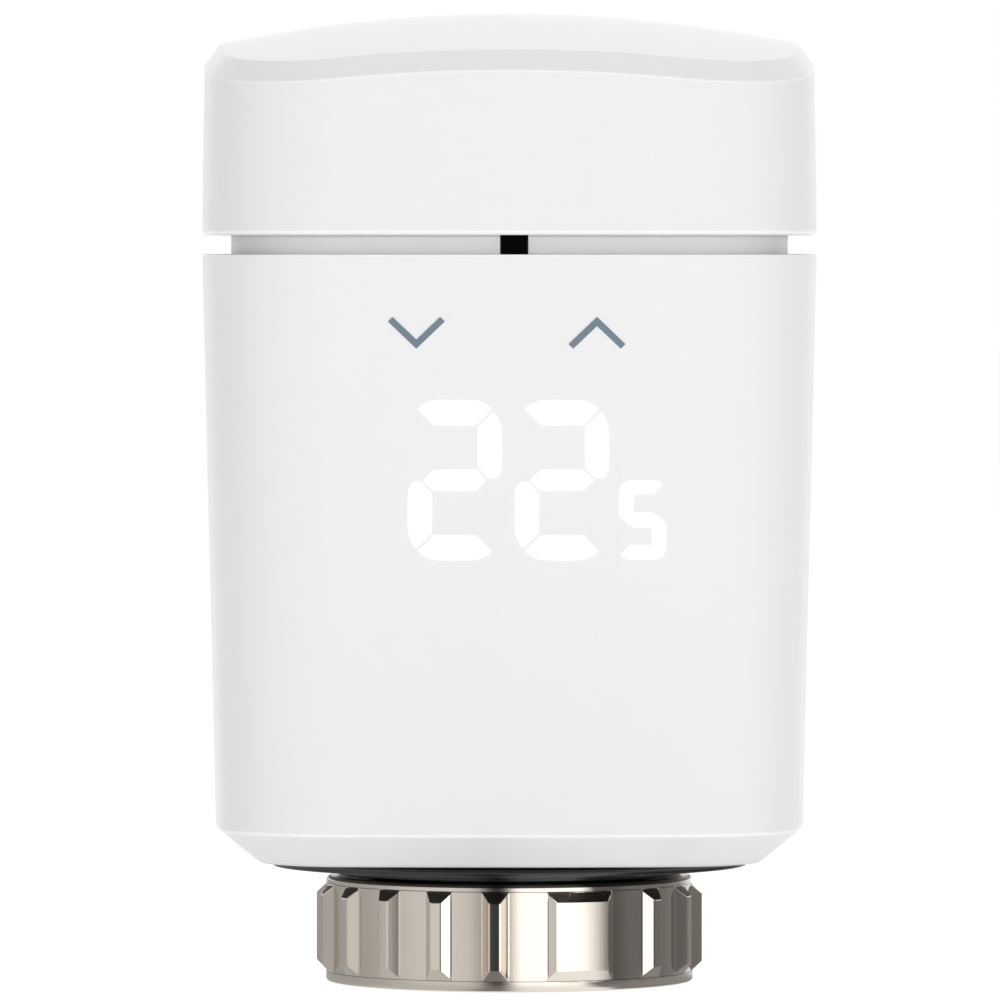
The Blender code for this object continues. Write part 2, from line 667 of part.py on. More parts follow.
def make_plunger():
    """Threaded rod with a pressure foot whose two wings slide in the spigot's keyways."""
    foot_top = PLUNGER_Z + PLUNGER_FOOT
    profile = [
        (0, PLUNGER_Z),
        (PLUNGER_FOOT_RADIUS - 0.4, PLUNGER_Z),
        (PLUNGER_FOOT_RADIUS, PLUNGER_Z + 0.4),
        (PLUNGER_FOOT_RADIUS, foot_top),
        (PLUNGER_RADIUS, foot_top),
        (PLUNGER_RADIUS, HUB_TOP_Z - PLUNGER_BELOW_HUB),
        (0, HUB_TOP_Z - PLUNGER_BELOW_HUB),
    ]
    plunger = add_part("plunger", turned(profile), "drive_plastic", (0.0, 0.0, PLUNGER_Z))
    reach = KEY_REACH - GAP
    low = (-reach, -KEY_WIDTH / 2, PLUNGER_Z + 0.5)
    high = (reach, KEY_WIDTH / 2, foot_top - 0.2)
    wings = add_part("plunger_wings", box(low, high), "drive_plastic")
    return boolean(plunger, [wings], "UNION")


# ---- gears ------------------------------------------------------------------------------
def gear_points(teeth, centre, turn_deg):
    """Involute teeth, thinned for backlash, with three points to each flank."""
    pitch_radius = GEAR_MODULE * teeth / 2
    pressure = math.radians(PRESSURE_DEG)
    base_radius = pitch_radius * math.cos(pressure)
    tip = pitch_radius + ADDENDUM * GEAR_MODULE
    root = pitch_radius - DEDENDUM * GEAR_MODULE
    half_thick = (math.pi * GEAR_MODULE / 2 - BACKLASH) / 2 / pitch_radius
    involute_at_pitch = math.tan(pressure) - pressure

    def half_angle(radius):
        at = math.acos(min(1.0, base_radius / radius))
        return half_thick + involute_at_pitch - (math.tan(at) - at)

    start = max(root, base_radius)
    radii = [root, (start + tip) / 2, tip]
    halves = [half_angle(start), half_angle(radii[1]), half_angle(tip)]
    points = []
    for tooth in range(teeth):
        middle = math.radians(turn_deg) + 2 * math.pi * tooth / teeth
        for radius, half in zip(radii, halves):
            points.append((centre[0] + radius * math.cos(middle - half),
                           centre[1] + radius * math.sin(middle - half)))
        for radius, half in zip(reversed(radii), reversed(halves)):
            points.append((centre[0] + radius * math.cos(middle + half),
                           centre[1] + radius * math.sin(middle + half)))
    return points


def meshing_turn(teeth, other_teeth, other_turn, direction_deg):
    """Turn that puts a gap of this gear on the other gear's tooth, along their centre line."""
    other_pitch = 360.0 / other_teeth
    pitch = 360.0 / teeth
    other_phase = ((direction_deg - other_turn) / other_pitch) % 1.0
    return direction_deg + 180.0 + pitch * (other_phase + 0.5)


DRIVE_TURN = 0.0
SECOND_PINION_TURN = meshing_turn(PINION_TEETH, DRIVE_TEETH, DRIVE_TURN, SECOND_GEAR_DEG)
SECOND_WHEEL_TURN = 0.0
FIRST_PINION_TURN = meshing_turn(PINION_TEETH, WHEEL_TEETH, SECOND_WHEEL_TURN, FIRST_GEAR_DEG)
FIRST_WHEEL_TURN = 0.0
MOTOR_PINION_TURN = meshing_turn(PINION_TEETH, WHEEL_TEETH, FIRST_WHEEL_TURN, MOTOR_DEG)


def toothed(name, teeth, centre, turn_deg, low, high, material_name):
    builder = extruded(gear_points(teeth, centre, turn_deg), low, high)
    return add_part(name, builder, material_name, (*centre, low), smooth_deg=20.0)


def make_drive_gear():
    gear = toothed("drive_gear", DRIVE_TEETH, AXIS, DRIVE_TURN, LAYER_A,
                   LAYER_A + DRIVE_GEAR_THICKNESS, "drive_plastic")
    hub_z = SPIGOT_TOP_Z - SPIGOT_WEB - GAP
    hub = rod("drive_hub", HUB_RADIUS, hub_z, LAYER_A + 0.5)
    sleeve = rod("drive_sleeve", PLUNGER_RADIUS + 1.1, LAYER_A + 0.5, HUB_TOP_Z)
    bore = rod("drive_bore", PLUNGER_RADIUS + RUNNING_GAP, hub_z - CUT_PAST, HUB_TOP_Z + CUT_PAST)
    boolean(gear, [hub, sleeve], "UNION")
    return boolean(gear, [bore], "DIFFERENCE")


def make_compound_gear(name, centre, pinion_turn, wheel_turn, pinion_z, wheel_z):
    """A wheel with a pinion below it on one hub, all turning on a fixed pin."""
    wheel = toothed(name, WHEEL_TEETH, centre, wheel_turn, wheel_z,
                    wheel_z + GEAR_THICKNESS, "gear_plastic")
    pinion = toothed(name + "_pinion", PINION_TEETH, centre, pinion_turn, pinion_z,
                     wheel_z + 0.2, "gear_plastic")
    hub = rod(name + "_hub", GEAR_HUB_RADIUS, pinion_z + 0.1, HUB_TOP_Z, centre)
    bore = rod(name + "_bore", AXLE_RADIUS + RUNNING_GAP, PLATE_TOP_Z - CUT_PAST,
               HUB_TOP_Z + CUT_PAST, centre, SMALL_SEGMENTS)
    boolean(wheel, [pinion, hub], "UNION")
    return boolean(wheel, [bore], "DIFFERENCE")


def make_motor():
    can_z = COVER_TOP_Z + GAP
    can_top = can_z + MOTOR_LENGTH
    shaft_bore = MOTOR_SHAFT_RADIUS + RUNNING_GAP
    profile = [
        (shaft_bore, can_z),
        (MOTOR_RADIUS - 0.3, can_z),
        (MOTOR_RADIUS, can_z + 0.3),
        (MOTOR_RADIUS, can_top - 0.5),
        (MOTOR_RADIUS - 0.5, can_top),
        (0, can_top),
    ]
    ceiling = can_z + MOTOR_SHAFT_DEPTH
    profile = [(0, ceiling), (shaft_bore, ceiling)] + profile
    add_part("motor_can", turned(profile, MOTOR_AXIS), "steel", (*MOTOR_AXIS, can_z))
    bush_radius = PINION_WINDOW - GAP
    tube("motor_bush", shaft_bore, bush_radius, COVER_Z + GAP, COVER_TOP_Z, "brass", MOTOR_AXIS,
         SMALL_SEGMENTS)
    pinion = toothed("motor_pinion", PINION_TEETH, MOTOR_AXIS, MOTOR_PINION_TURN, LAYER_C,
                     LAYER_C + GEAR_THICKNESS, "brass")
    shaft_top = ceiling - GAP
    shaft = rod("motor_shaft", MOTOR_SHAFT_RADIUS, LAYER_C + 0.2, shaft_top, MOTOR_AXIS,
                SMALL_SEGMENTS)
    boolean(pinion, [shaft], "UNION")


# ---- gearbox plates, screws and axles ---------------------------------------------------
def make_gearbox():
    rings = [
        (outline(PLATE_HALF), PLATE_TOP_Z),
        (outline(PLATE_HALF), FLOOR_Z + GAP),
        (outline(PLATE_HALF - PLATE_SKIRT), FLOOR_Z + GAP),
        (outline(PLATE_HALF - PLATE_SKIRT), PLATE_Z),
    ]
    base = add_part("gearbox_base", loft([at_height(p, z) for p, z in rings]), "black_plastic")
    cover = add_part("gearbox_cover", extruded(outline(PLATE_HALF), COVER_Z, COVER_TOP_Z), "black_plastic")
    axle_hole = AXLE_RADIUS + 0.2
    posts = []
    base_holes = [rod("washer_hole", WASHER_RADIUS + GAP, PLATE_Z - CUT_PAST, PLATE_TOP_Z + CUT_PAST)]
    cover_holes = [
        rod("plunger_hole", PLUNGER_RADIUS + 0.5, COVER_Z - CUT_PAST, COVER_TOP_Z + CUT_PAST),
        rod("pinion_hole", PINION_WINDOW, COVER_Z - CUT_PAST, COVER_TOP_Z + CUT_PAST, MOTOR_AXIS,
            SMALL_SEGMENTS),
    ]
    for index, place in enumerate(SCREW_PLACES, start=1):
        posts.append(rod(f"post_{index}", POST_RADIUS, PLATE_Z + 0.5, COVER_Z - GAP, place, SMALL_SEGMENTS))
        screw_z = COVER_TOP_Z - SCREW_LENGTH
        hole = SCREW_RADIUS + GAP
        base_holes.append(rod(f"post_hole_{index}", hole, screw_z - GAP, COVER_Z + CUT_PAST, place,
                              SMALL_SEGMENTS))
        cover_holes.append(rod(f"cover_hole_{index}", hole, COVER_Z - CUT_PAST,
                               COVER_TOP_Z + CUT_PAST, place, SMALL_SEGMENTS))
        make_screw(f"gearbox_screw_{index}", place, screw_z)
    axles = ((FIRST_AXLE, LAYER_B - GAP), (SECOND_AXLE, PLATE_TOP_Z))
    for index, (place, seat) in enumerate(axles, start=1):
        base_holes.append(rod(f"base_pin_hole_{index}", axle_hole, PLATE_Z - CUT_PAST,
                              PLATE_TOP_Z + CUT_PAST, place, SMALL_SEGMENTS))
        cover_holes.append(rod(f"cover_pin_hole_{index}", axle_hole, COVER_Z - CUT_PAST,
                               COVER_TOP_Z + CUT_PAST, place, SMALL_SEGMENTS))
        make_axle(f"axle_{index}", place, seat)
    boolean(base, posts, "UNION")
    boolean(base, base_holes, "DIFFERENCE")
    boolean(cover, cover_holes, "DIFFERENCE")
    tube("thrust_washer", HUB_RADIUS + RUNNING_GAP, WASHER_RADIUS, PLATE_Z,
         PLATE_Z + WASHER_THICKNESS, "brass")


def make_axle(name, place, seat):
    """A pin between the two plates, with a shoulder up to the seat of a gear that runs higher."""
    profile = [(0, PLATE_Z), (AXLE_RADIUS, PLATE_Z)]
    shoulder_z = PLATE_TOP_Z + GAP
    if seat > shoulder_z:
        profile += [(AXLE_RADIUS, shoulder_z), (AXLE_SHOULDER, shoulder_z)]
        profile += [(AXLE_SHOULDER, seat), (AXLE_RADIUS, seat)]
    profile += [(AXLE_RADIUS, COVER_TOP_Z), (0, COVER_TOP_Z)]
    return add_part(name, turned(profile, place, SMALL_SEGMENTS), "steel", (*place, PLATE_Z))


def make_screw(name, place, tip_z):
    head_z = COVER_TOP_Z + 0.1
    profile = [
        (0, tip_z),
        (SCREW_RADIUS - 0.3, tip_z),
        (SCREW_RADIUS, tip_z + 0.4),
        (SCREW_RADIUS, head_z),
        (SCREW_HEAD_RADIUS, head_z),
        (SCREW_HEAD_RADIUS, head_z + SCREW_HEAD * 0.6),
        (SCREW_HEAD_RADIUS * 0.6, head_z + SCREW_HEAD),
        (0, head_z + SCREW_HEAD),
    ]
    return add_part(name, turned(profile, place, SMALL_SEGMENTS), "steel", (*place, head_z))


# ---- cells and their contacts -----------------------------------------------------------
def make_cell(name, place, nub_up):
    """An AA cell; the second one stands with its nub down."""
    shoulder = 0.5
    profile = [
        (0, 0),
        (CELL_RADIUS - shoulder, 0),
        (CELL_RADIUS, shoulder),
        (CELL_RADIUS, CELL_LENGTH - CELL_NUB - shoulder),
        (CELL_RADIUS - shoulder, CELL_LENGTH - CELL_NUB),
        (CELL_NUB_RADIUS, CELL_LENGTH - CELL_NUB),
        (CELL_NUB_RADIUS, CELL_LENGTH),
        (0, CELL_LENGTH),
    ]
    if nub_up:
        placed = [(radius, CELL_Z + height) for radius, height in profile]
    else:
        placed = [(radius, CELL_TOP_Z - height) for radius, height in profile]
    return add_part(name, turned(placed, place), "cell_wrap", (*place, CELL_Z))


def spiral_spring(name, place, wide_z, narrow_z):
    """A flat conical spring wound from round wire, widest at its seat."""
    steps_per_turn = 16
    steps = int(SPRING_TURNS * steps_per_turn)
    sides = 5
    rings = []
    for step in range(steps + 1):
        share = step / steps
        angle = 2 * math.pi * SPRING_TURNS * share
        radius = SPRING_OUTER + (SPRING_INNER - SPRING_OUTER) * share
        height = wide_z + (narrow_z - wide_z) * share
        outward = Vector((math.cos(angle), math.sin(angle), 0.0))
        middle = Vector((place[0], place[1], height)) + outward * radius
        ring = []
        for side in range(sides):
            around = 2 * math.pi * side / sides
            offset = outward * math.cos(around) + Vector((0.0, 0.0, math.sin(around)))
            ring.append(tuple(middle + offset * SPRING_WIRE))
        rings.append(ring)
    return add_part(name, loft(rings), "spring_steel", (*place, wide_z))


def make_contacts():
    left, right = CELL_PLACES
    seat = WELL_FLOOR_Z + GAP
    spiral_spring("contact_spring_bottom", left, seat + SPRING_WIRE, CELL_Z - GAP - SPRING_WIRE)
    profile = [
        (0, seat),
        (SPRING_OUTER, seat),
        (SPRING_OUTER, seat + BRIDGE_THICKNESS),
        (2.2, seat + BRIDGE_THICKNESS),
        (1.8, CELL_Z - GAP),
        (0, CELL_Z - GAP),
    ]
    add_part("contact_plate_bottom", turned(profile, right), "brass", (*right, seat))
    reach = CELL_SPACING / 2 + SPRING_OUTER
    bridge_low = (-reach, CELL_Y - BRIDGE_WIDTH / 2, BRIDGE_Z)
    bridge_high = (reach, CELL_Y + BRIDGE_WIDTH / 2, BRIDGE_TOP_Z)
    bridge = add_part("contact_bridge", box(bridge_low, bridge_high), "spring_steel",
                      (0.0, CELL_Y, BRIDGE_Z))
    nub = rod("bridge_nub", 2.0, CELL_TOP_Z + GAP, BRIDGE_Z + 0.2, left, SMALL_SEGMENTS)
    boolean(bridge, [nub], "UNION")
    spiral_spring("contact_spring_top", right, BRIDGE_Z - SPRING_WIRE - 0.1, CELL_TOP_Z + GAP + SPRING_WIRE)


# ---- board, display and touch pads ------------------------------------------------------
BOARD_FRONT_Y = -(BODY_HALF - BOARD_BEHIND_FRONT)
BOARD_BACK_Y = BOARD_FRONT_Y + BOARD_THICKNESS
BOARD_TOP_Z = DECK_Z - GAP
BOARD_LOW_Z = BOARD_TOP_Z - BOARD_HEIGHT
MASK_BACK_Y = BOARD_FRONT_Y - GAP
MASK_FRONT_Y = MASK_BACK_Y - MASK_THICKNESS
GUIDE_BACK_Y = MASK_FRONT_Y - GAP
GUIDE_FRONT_Y = GUIDE_BACK_Y - GUIDE_THICKNESS
SEGMENTS_OF_TWO = ("top", "upper_right", "middle", "lower_left", "bottom")
SEGMENTS_OF_FIVE = ("top", "upper_left", "middle", "lower_right", "bottom")


def segment_box(name, centre_x, centre_z, width, height, thick):
    """Corners, seen from the front, of one bar of a seven-bar figure."""
    half_w = width / 2
    half_h = height / 2
    space = thick * 0.6
    bars = {
        "top": (-half_w + space, half_h - thick, half_w - space, half_h),
        "middle": (-half_w + space, -thick / 2, half_w - space, thick / 2),
        "bottom": (-half_w + space, -half_h, half_w - space, -half_h + thick),
        "upper_left": (-half_w, space, -half_w + thick, half_h - space),
        "upper_right": (half_w - thick, space, half_w, half_h - space),
        "lower_left": (-half_w, -half_h + space, -half_w + thick, -space),
        "lower_right": (half_w - thick, -half_h + space, half_w, -space),
    }
    x0, z0, x1, z1 = bars[name]
    trim = thick * 0.45
    if name in ("top", "middle", "bottom"):
        x0, x1 = x0 + trim, x1 - trim
    else:
        z0, z1 = z0 + trim, z1 - trim
    return (centre_x + x0, centre_z + z0, centre_x + x1, centre_z + z1)


def make_display():
    top = TOP_Z - DISPLAY_BELOW_TOP
    bottom = top - DISPLAY_HEIGHT
    mask = add_part("display_mask", box((-DISPLAY_HALF_WIDTH, MASK_FRONT_Y, bottom),
                                        (DISPLAY_HALF_WIDTH, MASK_BACK_Y, top)), "black_plastic")
    digit_z = TOP_Z - DIGIT_BELOW_TOP
    small_z = digit_z - DIGIT_HEIGHT * (1 - SMALL_SCALE) / 2
    small_x = DISPLAY_HALF_WIDTH - DIGIT_WIDTH * SMALL_SCALE / 2 - 0.6
    figures = [(x, digit_z, 1.0, SEGMENTS_OF_TWO) for x in DIGIT_CENTRES]
    figures.append((min(SMALL_CENTRE, small_x), small_z, SMALL_SCALE, SEGMENTS_OF_FIVE))
    for number, (x, z, scale, bars) in enumerate(figures):
        for bar in bars:
            x0, z0, x1, z1 = segment_box(bar, x, z, DIGIT_WIDTH * scale, DIGIT_HEIGHT * scale,
                                         SEGMENT * scale)
            low = (x0, MASK_FRONT_Y - CUT_PAST, z0)
            high = (x1, MASK_BACK_Y + CUT_PAST, z1)
            opening = add_part(f"mask_opening_{number}_{bar}", box(low, high), "black_plastic")
            boolean(mask, [opening], "DIFFERENCE")
    guide_half = DISPLAY_HALF_WIDTH - 0.5
    add_part("display_light_guide", box((-guide_half, GUIDE_FRONT_Y, bottom + 0.5),
                                        (guide_half, GUIDE_BACK_Y, top - 0.5)), "diffuser")


def board_half_width():
    """Half of the width between the housing's inner corners at the board, less its room."""
    centre, corner = corner_arc(housing_half(BOARD_LOW_Z) - WALL)
    return centre + math.sqrt(corner ** 2 - (-BOARD_FRONT_Y - centre) ** 2) - BOARD_SIDE_ROOM


def make_board():
    half_width = board_half_width()
    low = (-half_width, BOARD_FRONT_Y, BOARD_LOW_Z)
    high = (half_width, BOARD_BACK_Y, BOARD_TOP_Z)
    add_part("circuit_board", box(low, high), "board_green")
    chip_y = BOARD_BACK_Y + GAP
    chip_z = BOARD_TOP_Z - BOARD_HEIGHT / 2
    chip_low = (CHIP_LEFT, chip_y, chip_z)
    chip_high = (CHIP_LEFT + CHIP_SIZE, chip_y + CHIP_THICKNESS, chip_z + CHIP_SIZE)
    add_part("control_chip", box(chip_low, chip_high), "chip_black")
    radio_top = BOARD_TOP_Z - RADIO_BELOW_EDGE
    radio_low = (RADIO_LEFT, chip_y, radio_top - RADIO_HEIGHT)
    radio_high = (RADIO_LEFT + RADIO_WIDTH, chip_y + RADIO_THICKNESS, radio_top)
    add_part("radio_module", box(radio_low, radio_high), "steel")
    pad_z = TOP_Z - PAD_BELOW_TOP
    back = BOARD_FRONT_Y - GAP
    for name, side in (("touch_pad_down", -1), ("touch_pad_up", 1)):
        low = (side * PAD_X - PAD_WIDTH / 2, back - PAD_THICKNESS, pad_z - PAD_HEIGHT / 2)
        high = (side * PAD_X + PAD_WIDTH / 2, back, pad_z + PAD_HEIGHT / 2)
        add_part(name, box(low, high), "copper")


def make_everything():
    make_housing()
    make_cap()
    make_cap_insert()
    make_chassis()
    make_window_and_sensor()
    make_base_plate()
    make_spigot()
    make_retaining_ring()
    make_union_nut()
    make_plunger()
    make_drive_gear()
    make_compound_gear("second_gear", SECOND_AXLE, SECOND_PINION_TURN, SECOND_WHEEL_TURN, LAYER_A, LAYER_B)
    make_compound_gear("first_gear", FIRST_AXLE, FIRST_PINION_TURN, FIRST_WHEEL_TURN, LAYER_B, LAYER_C)
    make_motor()
    make_gearbox()
    make_cell("battery_1", CELL_PLACES[0], True)
    make_cell("battery_2", CELL_PLACES[1], False)
    make_contacts()
    make_display()
    make_board()


make_everything()
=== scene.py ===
"""Looks of the electronic radiator-valve head: moulded shells, nickel nut, lit figures,
cells and contacts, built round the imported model, with its stage, lights and camera.

Lengths here are millimetres and become metres as each mesh is written.
The origin is on the valve axis at the union nut's open end. +Z is up, the front is -Y.
"""
import json
import math

import bmesh
import bpy
from mathutils import Matrix, Vector

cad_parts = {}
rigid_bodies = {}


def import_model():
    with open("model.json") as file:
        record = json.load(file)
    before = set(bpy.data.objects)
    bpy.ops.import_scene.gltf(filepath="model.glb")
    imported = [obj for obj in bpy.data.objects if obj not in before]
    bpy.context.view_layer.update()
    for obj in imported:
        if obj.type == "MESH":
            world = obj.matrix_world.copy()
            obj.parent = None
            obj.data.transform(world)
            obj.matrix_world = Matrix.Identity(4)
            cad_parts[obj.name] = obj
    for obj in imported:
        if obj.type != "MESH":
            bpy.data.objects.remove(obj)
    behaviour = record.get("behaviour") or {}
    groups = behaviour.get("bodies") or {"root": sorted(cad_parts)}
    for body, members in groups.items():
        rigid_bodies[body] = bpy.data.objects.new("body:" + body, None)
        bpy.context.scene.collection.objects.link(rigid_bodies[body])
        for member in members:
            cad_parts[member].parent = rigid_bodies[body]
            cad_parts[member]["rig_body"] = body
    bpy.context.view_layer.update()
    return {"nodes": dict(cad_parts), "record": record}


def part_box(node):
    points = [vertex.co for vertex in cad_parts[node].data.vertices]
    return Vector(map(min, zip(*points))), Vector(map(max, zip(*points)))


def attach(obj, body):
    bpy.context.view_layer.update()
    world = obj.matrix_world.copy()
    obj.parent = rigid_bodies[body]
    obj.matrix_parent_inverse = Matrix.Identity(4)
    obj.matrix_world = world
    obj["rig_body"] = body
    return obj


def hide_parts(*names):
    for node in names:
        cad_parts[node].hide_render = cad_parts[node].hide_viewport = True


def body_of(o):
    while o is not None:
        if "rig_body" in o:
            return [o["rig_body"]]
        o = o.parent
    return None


MM = 0.001
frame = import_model()
scene = bpy.context.scene


# ---- sizes read from the frame ----
def span(node):
    """Lowest and highest corner of a CAD node, in millimetres."""
    low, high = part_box(node)
    return low / MM, high / MM


CAP_LOW, CAP_HIGH = span("cap")
HOUSING_LOW, HOUSING_HIGH = span("housing")
CHASSIS_LOW, CHASSIS_HIGH = span("inner_chassis")
INSERT_LOW, INSERT_HIGH = span("cap_insert")
BASE_LOW, BASE_HIGH = span("base_plate")
SPIGOT_LOW, SPIGOT_HIGH = span("valve_spigot")
WINDOW_LOW, WINDOW_HIGH = span("sensor_window")
BODY_HALF = CAP_HIGH.x
LIP_Z = CAP_LOW.z
APEX_Z = CAP_HIGH.z
FOOT_Z = HOUSING_LOW.z
TOP_Z = HOUSING_HIGH.z
NECK_HALF = CHASSIS_HIGH.x
NECK_TOP_Z = CHASSIS_HIGH.z
INSERT_HALF = INSERT_HIGH.x
BASE_RADIUS = BASE_HIGH.x

# ---- sizes that a box can't tell ----
GAP = 0.3
CORNER_RADIUS = 12.5  # of the body's outline, seen from above
SIDE_RADIUS = 160.0
WALL = 1.8
HOUSING_TAPER = 1.15
HOUSING_SETBACK = 0.02
FOOT_INSET = 3.55
FOOT_HEIGHT = 2.85
FLOOR_THICKNESS = 1.6
CAP_TAPER = 0.24
LIP_BEVEL = 0.25
CAP_CHAMFER_INSET = 1.42
CAP_CHAMFER_HEIGHT = 1.84
DOME_RADIUS_X = 122.0
DOME_RADIUS_Y = 91.0
CROWN_RINGS = 14
CEILING_RINGS = 8
INNER_CHAMFER_SHARE = 0.6
BOSS_RADIUS = 19.2
BORE_CLEARANCE = 0.55
NECK_WALL = 1.4
DECK_DROP = 3.0
DECK_THICKNESS = 1.2
INSERT_ROOF_HALF = 20.0
INSERT_SKIRT = 1.0
INSERT_ROOF = 0.6
INSERT_SLOPE = 1.6
SHOULDER_Z = FOOT_Z + FOOT_HEIGHT
FLOOR_Z = FOOT_Z + FLOOR_THICKNESS
DECK_Z = TOP_Z - DECK_DROP

OUTLINE_SIDE_STEPS = 6  # points along half a side and half a corner
OUTLINE_CORNER_STEPS = 12
ROUND_SIDES = 96
EDGE_STEPS = 3
# how far beyond a rounded edge its painted highlight fades out
HIGHLIGHT_FADE = 0.08


# ---- node trees written as calls and expressions ----
class Wire:
    """A node's output in an expression: each operator adds its Math node."""

    def __init__(self, graph, socket):
        self.graph = graph
        self.socket = socket

    def out(self, name):
        """Another output of the same node."""
        return Wire(self.graph, self.socket.node.outputs[name])

    def math(self, operation, *others):
        return self.graph.math(operation, self, *others)

    def __add__(self, other):
        return self.math("ADD", other)

    def __sub__(self, other):
        return self.math("SUBTRACT", other)

    def __mul__(self, other):
        return self.math("MULTIPLY", other)

    def __truediv__(self, other):
        return self.math("DIVIDE", other)

    def __radd__(self, other):
        return self.graph.math("ADD", other, self)

    def __rsub__(self, other):
        return self.graph.math("SUBTRACT", other, self)

    def __rmul__(self, other):
        return self.graph.math("MULTIPLY", other, self)

    def __rtruediv__(self, other):
        return self.graph.math("DIVIDE", other, self)

    def __abs__(self):
        return self.math("ABSOLUTE")

    def rise(self, low, high):
        """0 below low and 1 above high, with a smooth step between them."""
        return self.graph.node("ShaderNodeMapRange", {
            "Value": self, "From Min": low, "From Max": high}, interpolation_type="SMOOTHSTEP")

    def band(self, low, low_end, high, high_end):
        """1 in a band with soft ends, low to low_end and high to high_end, else 0."""
        return self.rise(low, low_end) * (1.0 - self.rise(high, high_end))


class Graph:
    """Adds nodes to one tree: settings first, then sockets."""

    def __init__(self, tree):
        self.tree = tree

    def feed(self, socket, value):
        """Wires a socket or sets its value. A colour given as three numbers is opaque."""
        if isinstance(value, Wire):
            self.tree.links.new(value.socket, socket)
            return
        opaque = socket.type == "RGBA" and len(value) == 3
        socket.default_value = (*value, 1.0) if opaque else value

    def node(self, kind, sockets=None, **settings):
        made = self.tree.nodes.new(kind)
        for name, value in settings.items():
            setattr(made, name, value)
        for name, value in (sockets or {}).items():
            self.feed(made.inputs[name], value)
        return Wire(self, made.outputs[0]) if made.outputs else made

    def math(self, operation, *values):
        return self.node("ShaderNodeMath", dict(enumerate(values)), operation=operation)

    def vector(self, **parts):
        """A vector from its parts X, Y and Z. A part left out is 0."""
        return self.node("ShaderNodeCombineXYZ", parts)

    def ask(self, name, kind="NodeSocketFloat"):
        """A named input of a geometry tree."""
        if not self.tree.nodes.get("Group Input"):
            self.tree.nodes.new("NodeGroupInput")
        self.tree.interface.new_socket(name, in_out="INPUT", socket_type=kind)
        return Wire(self, self.tree.nodes["Group Input"].outputs[name])

    def pick(self, index, choices):
        """The choice, a number or a wire, that stands at an index."""
        made = self.tree.nodes.new("GeometryNodeIndexSwitch")
        made.data_type = "FLOAT"
        for _ in choices[2:]:
            made.index_switch_items.new()
        for place, value in enumerate([index, *choices]):
            self.feed(made.inputs[place], value)
        return Wire(self, made.outputs[0])

    def keep(self, geometry):
        """Ends a geometry tree: instances made real and the asked material on."""
        real = self.node("GeometryNodeRealizeInstances", {"Geometry": geometry})
        finish = self.ask("Finish", "NodeSocketMaterial")
        done = self.node("GeometryNodeSetMaterial", {"Geometry": real, "Material": finish})
        self.tree.interface.new_socket("Geometry", in_out="OUTPUT",
                                       socket_type="NodeSocketGeometry")
        self.node("NodeGroupOutput", {"Geometry": done})
        return self.tree


# ---- finishes ----
FIGURES_X = 1.6  # middle of the display's two large figures
FIGURES_Z = 44.7
FIGURE_GLOW_X = (8.0, 13.0)  # where the painted glow round the figures fades, across and up
FIGURE_GLOW_Z = (5.0, 10.0)
FRONT_Y = (-24.0, -22.0)
COARSE, FINE = 2.0, 3.0  # detail of a noise
MOULD_GRAIN_MM = 0.16
FLOW_MM = 9.0
TOOL_MARK_MM = 0.12
HAZE_MM = 4.0
GLOSS_DROP = 0.05  # how far below the named roughness the glossiest spots are
RIBS_Z = (0.9, 1.1, 8.5, 8.8)
# heights of the painted shade lines where the valleys meet the upper and the lower collar
RIB_SHADE_LINES_Z = ((8.66, 8.7, 8.74, 8.78), (0.9, 0.94, 0.97, 1.0))
TRACKS_PER_MM = 0.9
TRACK_HALF = (0.1, 0.14)  # as a share of the distance between tracks
SLEEVE_BAND_Z = (63.9, 64.1, 72.4, 72.6)
SLEEVE_LINE_Z = (62.9, 63.0, 63.3, 63.4)


class Finish(Graph):
    """A Principled material: constants sit on its own sockets and what varies is wired."""

    def __init__(self, name, colour, roughness, **constants):
        made = bpy.data.materials.new(name)
        made.use_nodes = True
        super().__init__(made.node_tree)
        self.material = made
        self.shader = made.node_tree.nodes["Principled BSDF"]
        self.set("Base Color", colour)
        self.set("Roughness", roughness)
        for socket, value in constants.items():
            self.set(socket.replace("_", " "), value)
        self.place = self.node("ShaderNodeTexCoord").out("Object")

    def set(self, socket, value):
        self.feed(self.shader.inputs[socket], value)

    def along(self, axis):
        """The place along one axis, in millimetres."""
        return self.node("ShaderNodeSeparateXYZ", {"Vector": self.place}).out(axis) / MM

    def stretched(self, *scales):
        """The place with each axis scaled, to draw grain out along the smallest."""
        return self.node("ShaderNodeMapping", {"Vector": self.place, "Scale": scales},
                         vector_type="POINT")

    def noise(self, size_mm, detail=COARSE, place=None):
        """Cloudy values from 0 to 1 in patches about that wide."""
        return self.node("ShaderNodeTexNoise", {
            "Vector": place or self.place, "Scale": 1.0 / (size_mm * MM), "Detail": detail})

    def blend(self, share, first, second):
        return self.node("ShaderNodeMix", {"Factor": share, 6: first, 7: second},
                         data_type="RGBA").out(2)

    def shades(self, share, colour, low, high):
        """A colour that passes from one shade of it to another."""
        return self.blend(share, shade(colour, low), shade(colour, high))

    def relief(self, height, depth_mm):
        """Bump that feeds Normal: height runs from 0 to 1 over that depth."""
        self.set("Normal", self.node("ShaderNodeBump", {
            "Height": height, "Distance": depth_mm * MM, "Strength": 1.0}))


def shade(colour, factor):
    return tuple(channel * factor for channel in colour)


def moulded(name, colour, roughness, grain_mm=MOULD_GRAIN_MM, depth_mm=0.004, **constants):
    """Moulded plastic: eroded mould grain, faint flow clouds and drifting gloss."""
    finish = Finish(name, colour, roughness, **constants)
    grain = finish.noise(grain_mm, FINE)
    flow = finish.noise(FLOW_MM)
    finish.set("Base Color", finish.shades(flow * 0.7 + grain * 0.3, colour, 0.985, 1.008))
    finish.set("Roughness", roughness - GLOSS_DROP + flow * 0.06 + grain * 0.05)
    finish.relief(grain, depth_mm)
    return finish


